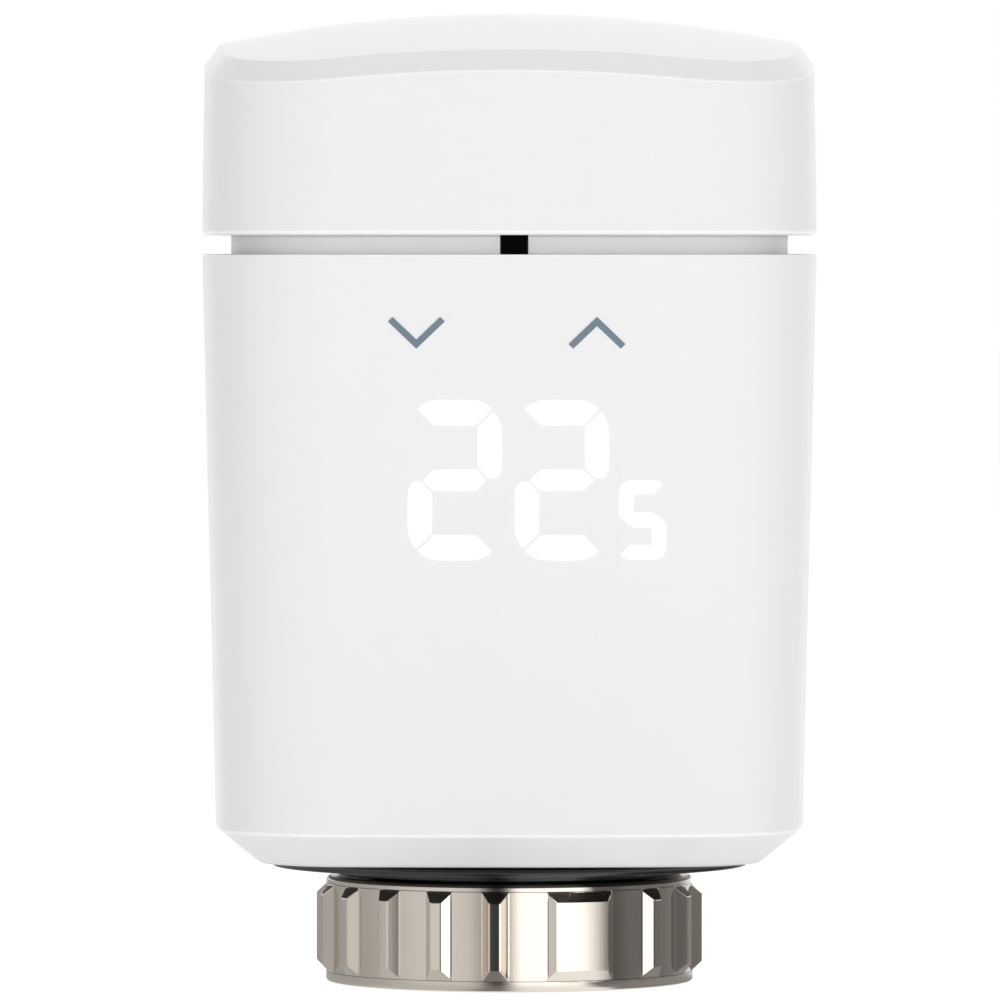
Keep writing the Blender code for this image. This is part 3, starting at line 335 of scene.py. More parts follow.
def worked_metal(name, colour, roughness, stretch, depth_mm=0.002):
    """Metal with tool marks drawn out along one direction."""
    finish = Finish(name, colour, roughness, Metallic=1.0)
    marks = finish.noise(TOOL_MARK_MM, FINE, finish.stretched(*stretch))
    haze = finish.noise(HAZE_MM)
    finish.set("Base Color", finish.shades(marks * 0.5 + haze * 0.5, colour, 0.94, 1.03))
    finish.set("Roughness", roughness - GLOSS_DROP + marks * 0.06 + haze * 0.05)
    finish.relief(marks, depth_mm)
    return finish


def shell_finish():
    """Satin white, with painted highlights along its edge lines and a painted cool glow where the
    lit figures shine in it.
    """
    colour = (0.868, 0.868, 0.862)
    finish = moulded("satin_white", colour, 0.42, depth_mm=0.003)
    # painted glow: a cool tint on the front skin round the lit figures, standing for their light
    across = abs(finish.along("X") - FIGURES_X)
    up = abs(finish.along("Z") - FIGURES_Z)
    front = 1.0 - finish.along("Y").rise(*FRONT_Y)
    figure_glow = (1.0 - across.rise(*FIGURE_GLOW_X)) * (1.0 - up.rise(*FIGURE_GLOW_Z)) * front
    base = finish.shades(finish.noise(MOULD_GRAIN_MM, FINE), colour, 0.992, 1.004)
    # painted highlight: edges flagged in the loft turn a lighter white, standing for light caught
    # on them
    painted_highlight = finish.node("ShaderNodeAttribute", attribute_name="painted_edge_highlight").out("Fac")
    edge_highlit = finish.blend(painted_highlight, base, (0.96, 0.96, 0.955))
    finish.set("Base Color", finish.blend(figure_glow, edge_highlit, (0.858, 0.870, 0.876)))
    return finish


def nickel_finish():
    """Plated brass: drawn streaks down the ribs, turned rings on the collars and face, and painted
    shade lines where the valleys meet the collars.
    """
    colour = (0.745, 0.68, 0.60)
    finish = Finish("satin_nickel", colour, 0.12, Metallic=1.0)
    height = finish.along("Z")
    ribs = height.band(*RIBS_Z)
    streaks = finish.noise(0.09, FINE, finish.stretched(1.0, 1.0, 0.02))
    rings = finish.noise(0.05, COARSE, finish.stretched(0.02, 0.02, 1.0))
    marks = streaks * ribs + rings * (1.0 - ribs)
    haze = finish.noise(3.0)
    # painted shade: thin dark lines where the valleys meet the collars, standing for the shade of a
    # fine groove
    upper, lower = RIB_SHADE_LINES_Z
    line = height.band(*upper) + height.band(*lower)
    drawn = finish.shades(marks * 0.6 + haze * 0.4, colour, 0.93, 1.04)
    finish.set("Base Color", finish.blend(line, drawn, shade(colour, 0.35)))
    finish.set("Roughness", 0.06 + marks * 0.05 + haze * 0.03)
    finish.relief(marks, 0.0015)
    return finish


def board_finish():
    """Green solder mask over a fine grid of copper tracks."""
    finish = Finish("solder_mask", (0.02, 0.16, 0.07), 0.3)
    lanes, steps = (abs((finish.along(axis) * TRACKS_PER_MM).math("FRACT") - 0.5)
                    for axis in "XZ")
    cells = finish.noise(4.0, 0.0).rise(0.49, 0.51)
    track = ((1.0 - lanes.rise(*TRACK_HALF)) * cells
             + (1.0 - steps.rise(*TRACK_HALF)) * (1.0 - cells))
    finish.set("Base Color", finish.blend(track, (0.012, 0.13, 0.055), (0.05, 0.27, 0.12)))
    finish.set("Roughness", 0.24 + track * 0.14)
    finish.relief(track, 0.035)
    return finish


def wrap_finish():
    """Shrink sleeve of the cells: graphite with a plain slate band and line."""
    finish = Finish("cell_sleeve", (0.05, 0.055, 0.06), 0.3, Coat_Weight=0.4, Coat_Roughness=0.12)
    height = finish.along("Z")
    print_share = height.band(*SLEEVE_BAND_Z) + height.band(*SLEEVE_LINE_Z)
    wrinkle = finish.noise(2.4, FINE, finish.stretched(1.0, 1.0, 0.25))
    finish.set("Base Color", finish.blend(print_share, (0.045, 0.05, 0.056), (0.16, 0.30, 0.38)))
    finish.set("Roughness", 0.22 + wrinkle * 0.14)
    finish.relief(wrinkle, 0.02)
    return finish


def mark_finish(name, colour, glow=0.0):
    """Ink or light in the front's skin: even, with a trace of the mould grain."""
    finish = Finish(name, colour, 0.4, Emission_Strength=glow)
    grain = finish.noise(0.3)
    finish.set("Base Color", finish.shades(grain, colour, 0.99, 1.0))
    finish.set("Roughness", 0.36 + grain * 0.06)
    if glow:
        finish.set("Emission Color", finish.blend(grain, (0.97, 0.985, 1.0), (1.0, 1.0, 1.0)))
    return finish


FINISHES = {
    "shell_white": shell_finish(),
    "inner_white": moulded("inner_white_plastic", (0.80, 0.80, 0.79), 0.45, 0.3, 0.003),
    "gloss_black": moulded("infrared_black", (0.003, 0.003, 0.003), 0.12, 0.6, 0.0005,
                           Specular_IOR_Level=0.2),
    "matt_black": moulded("glass_filled_black", (0.012, 0.012, 0.013), 0.24, 0.35, 0.004),
    "chip_black": moulded("epoxy_black", (0.035, 0.035, 0.037), 0.5, 0.08, 0.004),
    "nickel": nickel_finish(),
    "steel": worked_metal("bright_steel", (0.58, 0.58, 0.59), 0.28, (0.03, 1.0, 1.0)),
    "spring_steel": worked_metal("spring_steel", (0.66, 0.65, 0.62), 0.24, (0.05, 0.05, 1.0)),
    "brass": worked_metal("turned_brass", (0.80, 0.60, 0.30), 0.26, (0.05, 0.05, 1.0)),
    "copper": worked_metal("copper_foil", (0.84, 0.44, 0.27), 0.34, (0.05, 1.0, 1.0)),
    "grey_plastic": moulded("grey_nylon", (0.17, 0.175, 0.185), 0.42, 0.25, 0.005),
    "gear_cream": moulded("acetal_cream", (0.80, 0.76, 0.66), 0.38, 0.3, 0.003),
    "cell_wrap": wrap_finish(),
    "diffuser": moulded("milky_diffuser", (0.86, 0.87, 0.86), 0.5, 0.2, 0.006,
                        Subsurface_Weight=0.3),
    "board_green": board_finish(),
    "ink_slate": mark_finish("slate_ink", (0.175, 0.247, 0.305)),
    "figure_light": mark_finish("figure_light", (0.92, 0.93, 0.94), glow=0.4),
}


# ---- outlines, rings and lofts ----
def arc_centre():
    """Distance along both axes to the centre of a corner arc."""
    middle = SIDE_RADIUS - BODY_HALF
    reach = SIDE_RADIUS - CORNER_RADIUS
    return (math.sqrt(2 * reach * reach - middle * middle) - middle) / 2


def outline(half, scale=1.0):
    """The body's outline at a half width: bowed sides joined by corner arcs."""
    corner = CORNER_RADIUS + half - BODY_HALF
    side = SIDE_RADIUS + half - BODY_HALF
    middle = SIDE_RADIUS - BODY_HALF
    centre = arc_centre()
    join = math.atan2(centre, centre + middle)
    eighth = []
    for step in range(OUTLINE_SIDE_STEPS):
        angle = join * step / OUTLINE_SIDE_STEPS
        eighth.append((side * math.cos(angle) - middle, side * math.sin(angle)))
    for step in range(OUTLINE_CORNER_STEPS + 1):
        angle = join + (math.pi / 4 - join) * step / OUTLINE_CORNER_STEPS
        eighth.append((centre + corner * math.cos(angle), centre + corner * math.sin(angle)))
    quarter = eighth + [(y, x) for x, y in reversed(eighth[1:-1])]
    points = []
    for _ in range(4):
        points += [(x * scale, y * scale) for x, y in quarter]
        quarter = [(-y, x) for x, y in quarter]
    return points


def circle(radius, count=ROUND_SIDES, centre=(0.0, 0.0)):
    angles = [2 * math.pi * step / count for step in range(count)]
    return [(centre[0] + radius * math.cos(a), centre[1] + radius * math.sin(a)) for a in angles]


def circle_like(points, radius):
    """A circle whose points lie in the directions of another outline's."""
    return [tuple(Vector(point).normalized() * radius) for point in points]


def ring(points, height, reach=0.0, painted_highlight=False):
    """A level or domed ring for a loft, its edge's rounding, and if the edge gets a painted
    highlight.
    """
    level = height if callable(height) else lambda x, y: height
    return [Vector((x, y, level(x, y))) for x, y in points], reach, painted_highlight


def body_ring(half, height, reach=0.0, painted_highlight=False):
    """A ring along the body's outline at a half width."""
    return ring(outline(half), height, reach, painted_highlight)


def bend(start, corner, end, steps):
    """Places along a soft corner, from its start to its end."""
    shares = [step / steps for step in range(steps + 1)]
    return [start * (1 - t) ** 2 + corner * (2 * t * (1 - t)) + end * t * t for t in shares]


def stepped(points, towards, distance):
    """Points moved that far towards their partners in another ring or its pole."""
    partners = towards * (len(points) if len(towards) == 1 else 1)
    return [p + (q - p).normalized() * distance for p, q in zip(points, partners)]


def rounded(rings, closed):
    """Rounds the edge at each ring that has a reach. Gives (points, share of the painted
    highlight).
    """
    made = []
    for index, (points, reach, painted_highlight) in enumerate(rings):
        if not reach or not (closed or 0 < index < len(rings) - 1):
            made.append((points, 0.0))
            continue
        sides = rings[index - 1][0], rings[(index + 1) % len(rings)][0]
        starts, ends = (stepped(points, side, reach) for side in sides)
        bends = [bend(*corner, EDGE_STEPS) for corner in zip(starts, points, ends)]
        edge = [(list(places), float(painted_highlight)) for places in zip(*bends)]
        # a highlit edge gets a ring each side, where its painted highlight fades out
        if painted_highlight:
            before, after = ((stepped(points, side, reach + HIGHLIGHT_FADE), 0.0) for side in sides)
            edge = [before, *edge, after]
        made += edge
    return made


def loft(rings, closed=False):
    """Skins rings of equally many points, where a ring of one point is a pole."""
    builder = bmesh.new()
    # each point's share of the painted edge highlight, read by the shell's finish
    painted_edge_highlight = builder.verts.layers.float.new("painted_edge_highlight")
    made = []
    for points, painted_highlight in rounded(rings, closed):
        made.append([builder.verts.new(point) for point in points])
        for vertex in made[-1]:
            vertex[painted_edge_highlight] = painted_highlight
    pairs = list(zip(made, made[1:]))
    if closed:
        pairs.append((made[-1], made[0]))
    for lower, upper in pairs:
        count = max(len(lower), len(upper))
        for index in range(count):
            after = (index + 1) % count
            corners = [lower[index % len(lower)], lower[after % len(lower)],
                       upper[after % len(upper)], upper[index % len(upper)]]
            builder.faces.new(list(dict.fromkeys(corners)))
    if not closed:
        for end in (made[0], made[-1]):
            if len(end) > 2:
                builder.faces.new(end)
    return builder


def turned(profile, centre=(0.0, 0.0), count=ROUND_SIDES, closed=False):
    """Turns (radius, height) or (radius, height, reach) points round an upright axis."""
    rings = []
    for radius, height, *reach in profile:
        points = circle(radius, count, centre) if radius else [centre]
        rings.append(ring(points, height, *reach))
    return loft(rings, closed)


# ---- finished pieces ----
SHARP_DEG = 38.0  # an edge sharper than this shows as an edge


def mesh_of(name, builder, *materials):
    """The builder's faces as a mesh with its materials. The builder is used up."""
    mesh = bpy.data.meshes.new(name)
    builder.to_mesh(mesh)
    builder.free()
    for material in materials:
        mesh.materials.append(material)
    return mesh


def added(name, data):
    """A new object in the scene."""
    made = bpy.data.objects.new(name, data)
    scene.collection.objects.link(made)
    return made


def piece(name, builder, finish, body, stands_for=(), slot=None):
    """Makes a mesh in millimetres a finished piece that rides on a body."""
    bmesh.ops.recalc_face_normals(builder, faces=builder.faces)
    bmesh.ops.scale(builder, vec=(MM, MM, MM), verts=builder.verts)
    mesh = mesh_of(name, builder, FINISHES[finish].material)
    return place_piece(name, mesh, finish, body, stands_for, slot)


def place_piece(name, mesh, finish, body, stands_for=(), slot=None, sharp_deg=SHARP_DEG):
    mesh.shade_smooth()
    mesh.set_sharp_from_angle(angle=math.radians(sharp_deg))
    made = added(name, mesh)
    even = made.modifiers.new("even_shading", "WEIGHTED_NORMAL")
    even.keep_sharp = True
    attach(made, body)
    slot or finish
    if stands_for:
        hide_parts(*stands_for)
    return made


def metres(sizes):
    """The same named sizes in metres instead of millimetres."""
    return {name: size * MM for name, size in sizes.items()}


def grown(tree, values):
    """Runs a geometry tree once and gives a plain mesh."""
    carrier = added("carrier", bpy.data.meshes.new("carrier"))
    modifier = carrier.modifiers.new("grow", "NODES")
    modifier.node_group = tree
    for item in tree.interface.items_tree:
        if item.in_out == "INPUT":
            modifier[item.identifier] = values[item.name]
    depsgraph = bpy.context.evaluated_depsgraph_get()
    mesh = bpy.data.meshes.new_from_object(carrier.evaluated_get(depsgraph))
    carrier.modifiers.remove(modifier)
    bpy.data.objects.remove(carrier)
    return mesh


# ---- housing and cap ----
def housing_half(height):
    share = (TOP_Z - height) / (TOP_Z - SHOULDER_Z)
    return BODY_HALF - HOUSING_TAPER * share


def make_housing():
    """Tapering shell with its chamfered foot, its floor and the base plate's bore."""
    shoulder = housing_half(SHOULDER_Z)
    slope = FOOT_HEIGHT / FOOT_INSET
    bore = circle_like(outline(BODY_HALF), BOSS_RADIUS + BORE_CLEARANCE)
    rings = [
        ring(bore, FLOOR_Z),
        ring(bore, FOOT_Z),
        body_ring(shoulder - FOOT_INSET, FOOT_Z, 0.45),
        # the shoulder's edge and the top's edge carry a painted highlight
        body_ring(shoulder, SHOULDER_Z, 0.14, painted_highlight=True),
        body_ring(BODY_HALF - HOUSING_SETBACK, TOP_Z, 0.12, painted_highlight=True),
        body_ring(BODY_HALF - WALL, TOP_Z, 0.15),
        body_ring(shoulder - WALL, SHOULDER_Z),
        body_ring(shoulder - WALL - (SHOULDER_Z - FLOOR_Z) / slope, FLOOR_Z),
    ]
    piece("housing_shell", loft(rings, closed=True), "shell_white", "head", ["housing"])


def dome(x, y):
    return APEX_Z - x * x / (2 * DOME_RADIUS_X) - y * y / (2 * DOME_RADIUS_Y)


def dome_inside(x, y):
    return dome(x, y) - WALL


def make_cap():
    """Lift-off cap: lip, side, chamfer whose height follows the dome, and the dome."""
    top_half = BODY_HALF - CAP_TAPER
    rim_half = top_half - CAP_CHAMFER_INSET

    def chamfer_foot(half, rim, surface, drop):
        """The ring under a rim of the dome, at the chamfer's lower end."""
        return [Vector((x, y, surface(u, v) - drop)) for (x, y), (u, v) in zip(outline(half), rim)]

    rim = outline(rim_half)
    roof = outline(rim_half - WALL)
    edge = chamfer_foot(top_half, rim, dome, CAP_CHAMFER_HEIGHT)
    inner_edge = chamfer_foot(top_half - WALL, roof, dome_inside,
                              CAP_CHAMFER_HEIGHT * INNER_CHAMFER_SHARE)
    rings = [ring([(0.0, 0.0)], APEX_Z)]
    rings += [ring(outline(rim_half, count / CROWN_RINGS), dome) for count in range(1, CROWN_RINGS)]
    rings += [
        ring(rim, dome, 0.12),
        # the chamfer's foot and the lip carry a painted highlight
        (edge, 0.07, True),
        body_ring(BODY_HALF, LIP_Z + LIP_BEVEL, 0.05, painted_highlight=True),
        body_ring(BODY_HALF - LIP_BEVEL, LIP_Z, 0.05),
        body_ring(BODY_HALF - WALL, LIP_Z, 0.2),
        (inner_edge, 0.0, False),
        ring(roof, dome_inside),
    ]
    rings += [ring(outline(rim_half - WALL, count / CEILING_RINGS), dome_inside)
              for count in range(CEILING_RINGS - 1, 0, -1)]
    rings.append(ring([(0.0, 0.0)], APEX_Z - WALL))
    piece("cap_shell", loft(rings), "shell_white", "lid", ["cap"])


# ---- marks on the front ----
MARK_PROUD = 0.035
MARK_SINK = 0.05
MARK_CUT = 1.0  # width of the strips that let a mark follow the bowed skin
MARK_CORNER_STEPS = 6
CHEVRON_HALF = 2.44
CHEVRON_HEIGHT = 2.73
CHEVRON_STROKE = 0.79  # measured upright
CHEVRON_END = 0.4
CHEVRON_Z = 57.32
CHEVRON_DOWN_X = -8.0
CHEVRON_UP_X = 7.48
DIGIT_X = (-4.71, 4.47)
SMALL_X = 11.39
SMALL_Z = 41.3


def front_y(x, z):
    """Depth of the housing's front skin at a place across and up."""
    side = SIDE_RADIUS + housing_half(z) - BODY_HALF
    return (SIDE_RADIUS - BODY_HALF) - math.sqrt(side * side - x * x)


def softened(corners):
    """An outline from (x, z) corners, rounded where a third number gives a reach."""
    points = []
    for index, (x, z, *reach) in enumerate(corners):
        corner = Vector((x, z))
        if not reach:
            points.append(corner)
            continue
        before = Vector(corners[index - 1][:2])
        after = Vector(corners[(index + 1) % len(corners)][:2])
        start = corner + (before - corner).normalized() * reach[0]
        end = corner + (after - corner).normalized() * reach[0]
        points += bend(start, corner, end, MARK_CORNER_STEPS)
    return points


def mirrored(corners, across=False, up=False):
    """Corners turned over left to right, upside down, or both."""
    return [(-x if across else x, -z if up else z, *reach) for x, z, *reach in corners]


def marks(name, outlines, finish, slot="shell_white"):
    """Thin plates that follow the front skin, from their outlines."""
    builder = bmesh.new()
    for points in outlines:
        builder.faces.new([builder.verts.new((p.x, 0.0, p.y)) for p in points])
    lowest = min(vertex.co.x for vertex in builder.verts)
    highest = max(vertex.co.x for vertex in builder.verts)
    for step in range(1, int((highest - lowest) / MARK_CUT) + 1):
        geometry = builder.verts[:] + builder.edges[:] + builder.faces[:]
        bmesh.ops.bisect_plane(builder, geom=geometry, plane_no=(1, 0, 0),
                               plane_co=(lowest + step * MARK_CUT, 0, 0))
    bmesh.ops.triangulate(builder, faces=[face for face in builder.faces if len(face.verts) > 4])
    back = bmesh.ops.extrude_face_region(builder, geom=builder.faces[:])["geom"]
    sunk = {item for item in back if isinstance(item, bmesh.types.BMVert)}
    for vertex in builder.verts:
        x, _, z = vertex.co
        vertex.co.y = front_y(x, z) + (MARK_SINK if vertex in sunk else -MARK_PROUD)
    piece(name, builder, finish, "head", slot=slot)


def chevron(centre_x, upward):
    rise = CHEVRON_HEIGHT / 2
    half, tip = CHEVRON_HALF, rise - CHEVRON_END
    corners = [(0.0, -rise), (half, tip), (half - CHEVRON_END, rise), (0.0, CHEVRON_STROKE - rise),
               (CHEVRON_END - half, rise), (-half, tip)]
    return [Vector((centre_x + x, CHEVRON_Z + z)) for x, z in mirrored(corners, up=upward)]


TOP_BAR = [(-1.79, 4.75), (1.79, 4.75), (3.12, 6.1), (2.36, 6.84, 1.04), (-2.36, 6.84, 1.04),
           (-3.12, 6.1)]
RIGHT_BAR = [(2.0, 1.14), (2.0, 4.49), (3.34, 5.8), (4.01, 4.98, 1.0), (4.01, 0.72, 0.62),
             (3.58, 0.18), (2.98, 0.18)]
MIDDLE_BAR = [(-2.66, 0.0), (-1.77, 0.89), (1.77, 0.89), (2.66, 0.0), (1.77, -0.89),
              (-1.77, -0.89)]
SMALL_CURL = [(1.65, 3.0), (0.86, 2.22), (-0.83, 2.22), (-0.83, 0.62), (0.84, 0.62),
              (2.0, -0.28, 0.4), (2.0, -3.4, 1.2), (-1.42, -3.4, 0.45), (-1.84, -3.0),
              (-1.09, -2.2), (0.83, -2.2), (0.83, -0.62), (-0.84, -0.62), (-2.0, 0.28, 0.4),
              (-2.0, 3.37, 1.2), (1.24, 3.37, 0.45)]


def make_marks():
    """The touch arrows in ink, and the lit figures."""
    marks("touch_arrow_down", [chevron(CHEVRON_DOWN_X, False)], "ink_slate")
    marks("touch_arrow_up", [chevron(CHEVRON_UP_X, True)], "ink_slate")
    two = [TOP_BAR, RIGHT_BAR, MIDDLE_BAR, mirrored(RIGHT_BAR, across=True, up=True),
           mirrored(TOP_BAR, up=True)]
    figures = [(number, x, FIGURES_Z, two) for number, x in enumerate(DIGIT_X, start=1)]
    for name, x, z, bars in figures + [("small", SMALL_X, SMALL_Z, [SMALL_CURL])]:
        outlines = [[p + Vector((x, z)) for p in softened(bar)] for bar in bars]
        marks(f"figure_{name}", outlines, "figure_light", "diffuser")


# ---- union nut and contact coils ----
NUT_SECTORS = 9  # to a half turn: one wide rib, then eight narrow ones
NUT_COLUMNS = 10  # to a sector
NUT_PITCH_DEG = 18.0
NUT_MM = {
    "Height": span("union_nut")[1].z, "Valley Radius": 16.15, "Lower Collar": 16.15,
    "Upper Collar": 16.15, "Rib Height": 0.88, "Rib Foot": 1.0, "Rib Top": 8.65, "Rib End": 0.85,
    "Wide Flat": 16.6, "Edge": 0.25, "Mouth": 15.3, "Mouth Chamfer": 0.5, "Thread Root": 15.0,
    "Lip Bore": 12.2, "Lip": 1.5,
}
NUT_DEG = {"First Rib": 22.6, "Rib Base": 8.1, "Rib Crest": 3.3, "Wide Crest": 16.8}
THREAD_MM = {"Root Radius": 15.05, "Crest Radius": 14.2, "Low": 0.75, "High": 7.05,
             "Root Width": 1.3, "Crest Width": 0.28}
THREAD_TURNS = 4.2
THREAD_TURN_DEG = -90.0  # lays the section's narrow side towards the axis
COIL_WIRE = 0.3  # its radius
COIL_TIP = 2.4
COIL_TURNS = 2.75
SPIRAL_STEPS = 48
WIRE_SIDES = 12
THIN_END = 0.06  # width of a spiral's tip, as a share of the full width


def ribbed_nut_tree():
    """A grid rolled into the nut: rows climb the section and columns cross the ribs."""
    graph = Graph(bpy.data.node_groups.new("ribbed_nut", "GeometryNodeTree"))
    (height, valley, lower, upper, rib_height, foot, top, end, wide_flat, edge, mouth, chamfer,
     root, lip_bore, lip) = (graph.ask(name) for name in NUT_MM)
    first_rib, *full_angles = (graph.ask(name) for name in NUT_DEG)
    base, crest, wide_crest = (angle / 2 for angle in full_angles)
    under_lip = height - lip
    rows = [  # radius and height; no radius where the ribs set it
        (mouth, 0.0), (lower - edge, 0.0), (lower, edge), (lower, foot - edge), (valley, foot),
        (None, foot + end), (None, top - end), (valley, top), (upper, top + edge * 0.5),
        (upper, height - edge), (upper - edge, height), (lip_bore + edge, height),
        (lip_bore, height - edge), (lip_bore, under_lip), (root, under_lip),
        (root, chamfer), (mouth, 0.0),
    ]
    columns = 2 * NUT_SECTORS * NUT_COLUMNS
    grid = graph.node("GeometryNodeMeshGrid", {"Vertices X": columns + 1, "Vertices Y": len(rows)})
    index = graph.node("GeometryNodeInputIndex")
    column = (index / len(rows)).math("FLOOR")
    row = index - column * len(rows)
    sector = (column / NUT_COLUMNS).math("FLOOR")
    step = column - sector * NUT_COLUMNS - NUT_COLUMNS / 2
    half_turn = (sector / NUT_SECTORS).math("FLOOR")
    rib = sector - half_turn * NUT_SECTORS
    narrow = rib.math("MINIMUM", 1.0)
    from_centre = abs(step)

    def offset_of(crest_half, base_half, edge_half):
        """Degrees from a rib's centre line to each column."""
        return graph.pick(from_centre, [0.0, crest_half / 2, crest_half, base_half,
                                        (base_half + edge_half) / 2, edge_half])

    narrow_offset = offset_of(crest, base, NUT_PITCH_DEG / 2)
    wide_offset = offset_of(wide_crest, wide_crest + base - crest, NUT_PITCH_DEG)
    offset = narrow_offset * narrow + wide_offset * (1.0 - narrow)
    centre = (rib + 0.5) * NUT_PITCH_DEG * narrow
    angle = first_rib + half_turn * 180.0 + centre + step.math("SIGN") * offset
    turn = angle.math("RADIANS")
    flat = wide_flat / offset.math("RADIANS").math("COSINE")
    raised = (valley + rib_height) * narrow + flat * (1.0 - narrow)
    on_crest = 1.0 - from_centre.math("GREATER_THAN", NUT_COLUMNS / 5)
    ribbed = valley + (raised - valley) * on_crest
    radius = graph.pick(row, [ribbed if value is None else value for value, _ in rows])
    place = graph.vector(X=radius * turn.math("SINE"), Y=0.0 - radius * turn.math("COSINE"),
                         Z=graph.pick(row, [value for _, value in rows]))
    rolled = graph.node("GeometryNodeSetPosition", {"Geometry": grid, "Position": place})
    joined = graph.node("GeometryNodeMergeByDistance", {
        "Geometry": rolled, "Distance": 0.001 * MM})
    return graph.keep(graph.node("GeometryNodeTriangulate", {"Mesh": joined},
                                 quad_method="LONGEST_DIAGONAL"))


def helix(graph, section, low, high, start, finish, turns, ends):
    """A section drawn along a rising spiral whose ends thin out over that share of it."""
    spiral = graph.node("GeometryNodeCurveSpiral", {
        "Resolution": SPIRAL_STEPS, "Rotations": turns, "Start Radius": start,
        "End Radius": finish, "Height": high - low})
    level = graph.node("GeometryNodeSetCurveNormal", {"Curve": spiral}, mode="Z_UP")
    along = graph.node("GeometryNodeSplineParameter")
    width = (along / ends).math("MINIMUM", 1.0) * ((1.0 - along) / ends).math("MINIMUM", 1.0)
    swept = graph.node("GeometryNodeCurveToMesh", {
        "Curve": level, "Profile Curve": section, "Scale": width * (1.0 - THIN_END) + THIN_END,
        "Fill Caps": True})
    return graph.node("GeometryNodeTransform", {
        "Geometry": swept, "Translation": graph.vector(Z=low)})


def coil_tree():
    """Conical compression spring of round wire."""
    graph = Graph(bpy.data.node_groups.new("contact_coil", "GeometryNodeTree"))
    start, finish, turns, low, high, wire, across, deep = (graph.ask(name) for name in (
        "Start Radius", "End Radius", "Turns", "Low", "High", "Wire Radius", "Across", "Deep"))
    section = graph.node("GeometryNodeCurvePrimitiveCircle", {
        "Resolution": WIRE_SIDES, "Radius": wire})
    coil = helix(graph, section, low, high, start, finish, turns, 0.01)
    placed = graph.node("GeometryNodeTransform", {
        "Geometry": coil, "Translation": graph.vector(X=across, Y=deep)})
    return graph.keep(graph.node("GeometryNodeSetShadeSmooth", {"Geometry": placed}))


def thread_tree():
    """The ridge of an inside thread: a trapezoid that narrows towards the axis."""
    graph = Graph(bpy.data.node_groups.new("inside_thread", "GeometryNodeTree"))
    root, crest, low, high, wide, narrow = (graph.ask(name) for name in THREAD_MM)
    section = graph.node("GeometryNodeCurvePrimitiveQuadrilateral", {
        "Height": root - crest, "Bottom Width": wide, "Top Width": narrow, "Offset": 0.0},
        mode="TRAPEZOID")
    upright = graph.node("GeometryNodeTransform", {
        "Geometry": section, "Rotation": (0.0, 0.0, math.radians(THREAD_TURN_DEG))})
    middle = (root + crest) / 2
    return graph.keep(helix(graph, upright, low, high, middle, middle, graph.ask("Turns"), 0.04))


def make_nut():
    """The ribbed nut with broken edges, and the thread inside it."""
    finish = {"Finish": FINISHES["nickel"].material}
    body = grown(ribbed_nut_tree(), {**metres(NUT_MM), **NUT_DEG, **finish})
    nut = place_piece("nickel_union_nut", body, "nickel", "nut", ["union_nut"], sharp_deg=25.0)
    break_edges(nut, 0.09, 32.0)
    thread = grown(thread_tree(), {**metres(THREAD_MM), "Turns": THREAD_TURNS, **finish})
    place_piece("nut_thread", thread, "nickel", "nut")


def make_coils():
    """Bottom contact coil under the nub-up cell, and the top one under the bridge."""
    tree = coil_tree()
    for end, body in (("bottom", "head"), ("top", "lid")):
        node = f"contact_spring_{end}"
        low, high = span(node)
        middle = (low + high) / 2
        radii = ((high.x - low.x) / 2 - COIL_WIRE, COIL_TIP)
        start, finish = reversed(radii) if end == "top" else radii
        sizes = {"Start Radius": start, "End Radius": finish, "Low": low.z + COIL_WIRE,
                 "High": high.z - COIL_WIRE, "Wire Radius": COIL_WIRE, "Across": middle.x,
                 "Deep": middle.y}
        mesh = grown(tree, {**metres(sizes), "Turns": COIL_TURNS,
                            "Finish": FINISHES["spring_steel"].material})
        place_piece(f"contact_coil_{end}", mesh, "spring_steel", body, [node], sharp_deg=60.0)


# ---- carved and turned pieces ----
BEVEL_SEGMENTS = 2
REFINED_SHARP_DEG = 30.0
WELD_MM = 0.0005
FLAT_DEG = 0.4
CELL_LOW, CELL_HIGH = zip(span("battery_1"), span("battery_2"))
CELL_RADIUS = 7.25
WELL_Z = CHASSIS_LOW.z
WELL_BORE = 7.55
WELL_WALL = 1.0
WELL_FLOOR = 1.0
WELL_RISE = 0.35  # of a well's rim above the deck
DECK_RIM = 1.2
WINDOW_PLAY = 0.03
WINDOW_SLOT_Y = (-25.6, -22.3)
SIGN_ARM = 1.6
SIGN_STROKE = 0.28
SIGN_RISE = 0.3
SIGN_SINK = 0.2
SIGN_Y = -3.4  # from the cells' front
DISC_LIP = 0.65  # thickness of the base disc's rim
DISC_BORE = 12.0
SPIGOT_BORE = 8.6
SPIGOT_RADIUS = 11.7
GROOVE_RADIUS = 10.9  # for the retaining ring
GROOVE_Z = (0.4, 1.6)
COLLAR_RADIUS = 15.3
FLANGE_RADIUS = 15.5
PLUNGER_HOLE = 5.25
CROWN_DEPTH = 2.0
KEYWAY_HALF = (9.5, 1.8)


def loose(builder):
    """A plain object from a mesh builder, used up in a cut."""
    bmesh.ops.recalc_face_normals(builder, faces=builder.faces)
    return added("loose", mesh_of("loose", builder))


def carved(builder, cutters):
    """The solid with other solids cut out of it."""
    target = loose(builder)
    tools = [loose(cutter) for cutter in cutters]
    for tool in tools:
        modifier = target.modifiers.new("cut", "BOOLEAN")
        modifier.operation = "DIFFERENCE"
        modifier.solver = "EXACT"
        modifier.object = tool
    depsgraph = bpy.context.evaluated_depsgraph_get()
    mesh = bpy.data.meshes.new_from_object(target.evaluated_get(depsgraph))
    cut = bmesh.new()
    cut.from_mesh(mesh)
    for gone in [target] + tools:
        bpy.data.objects.remove(gone)
    return cut


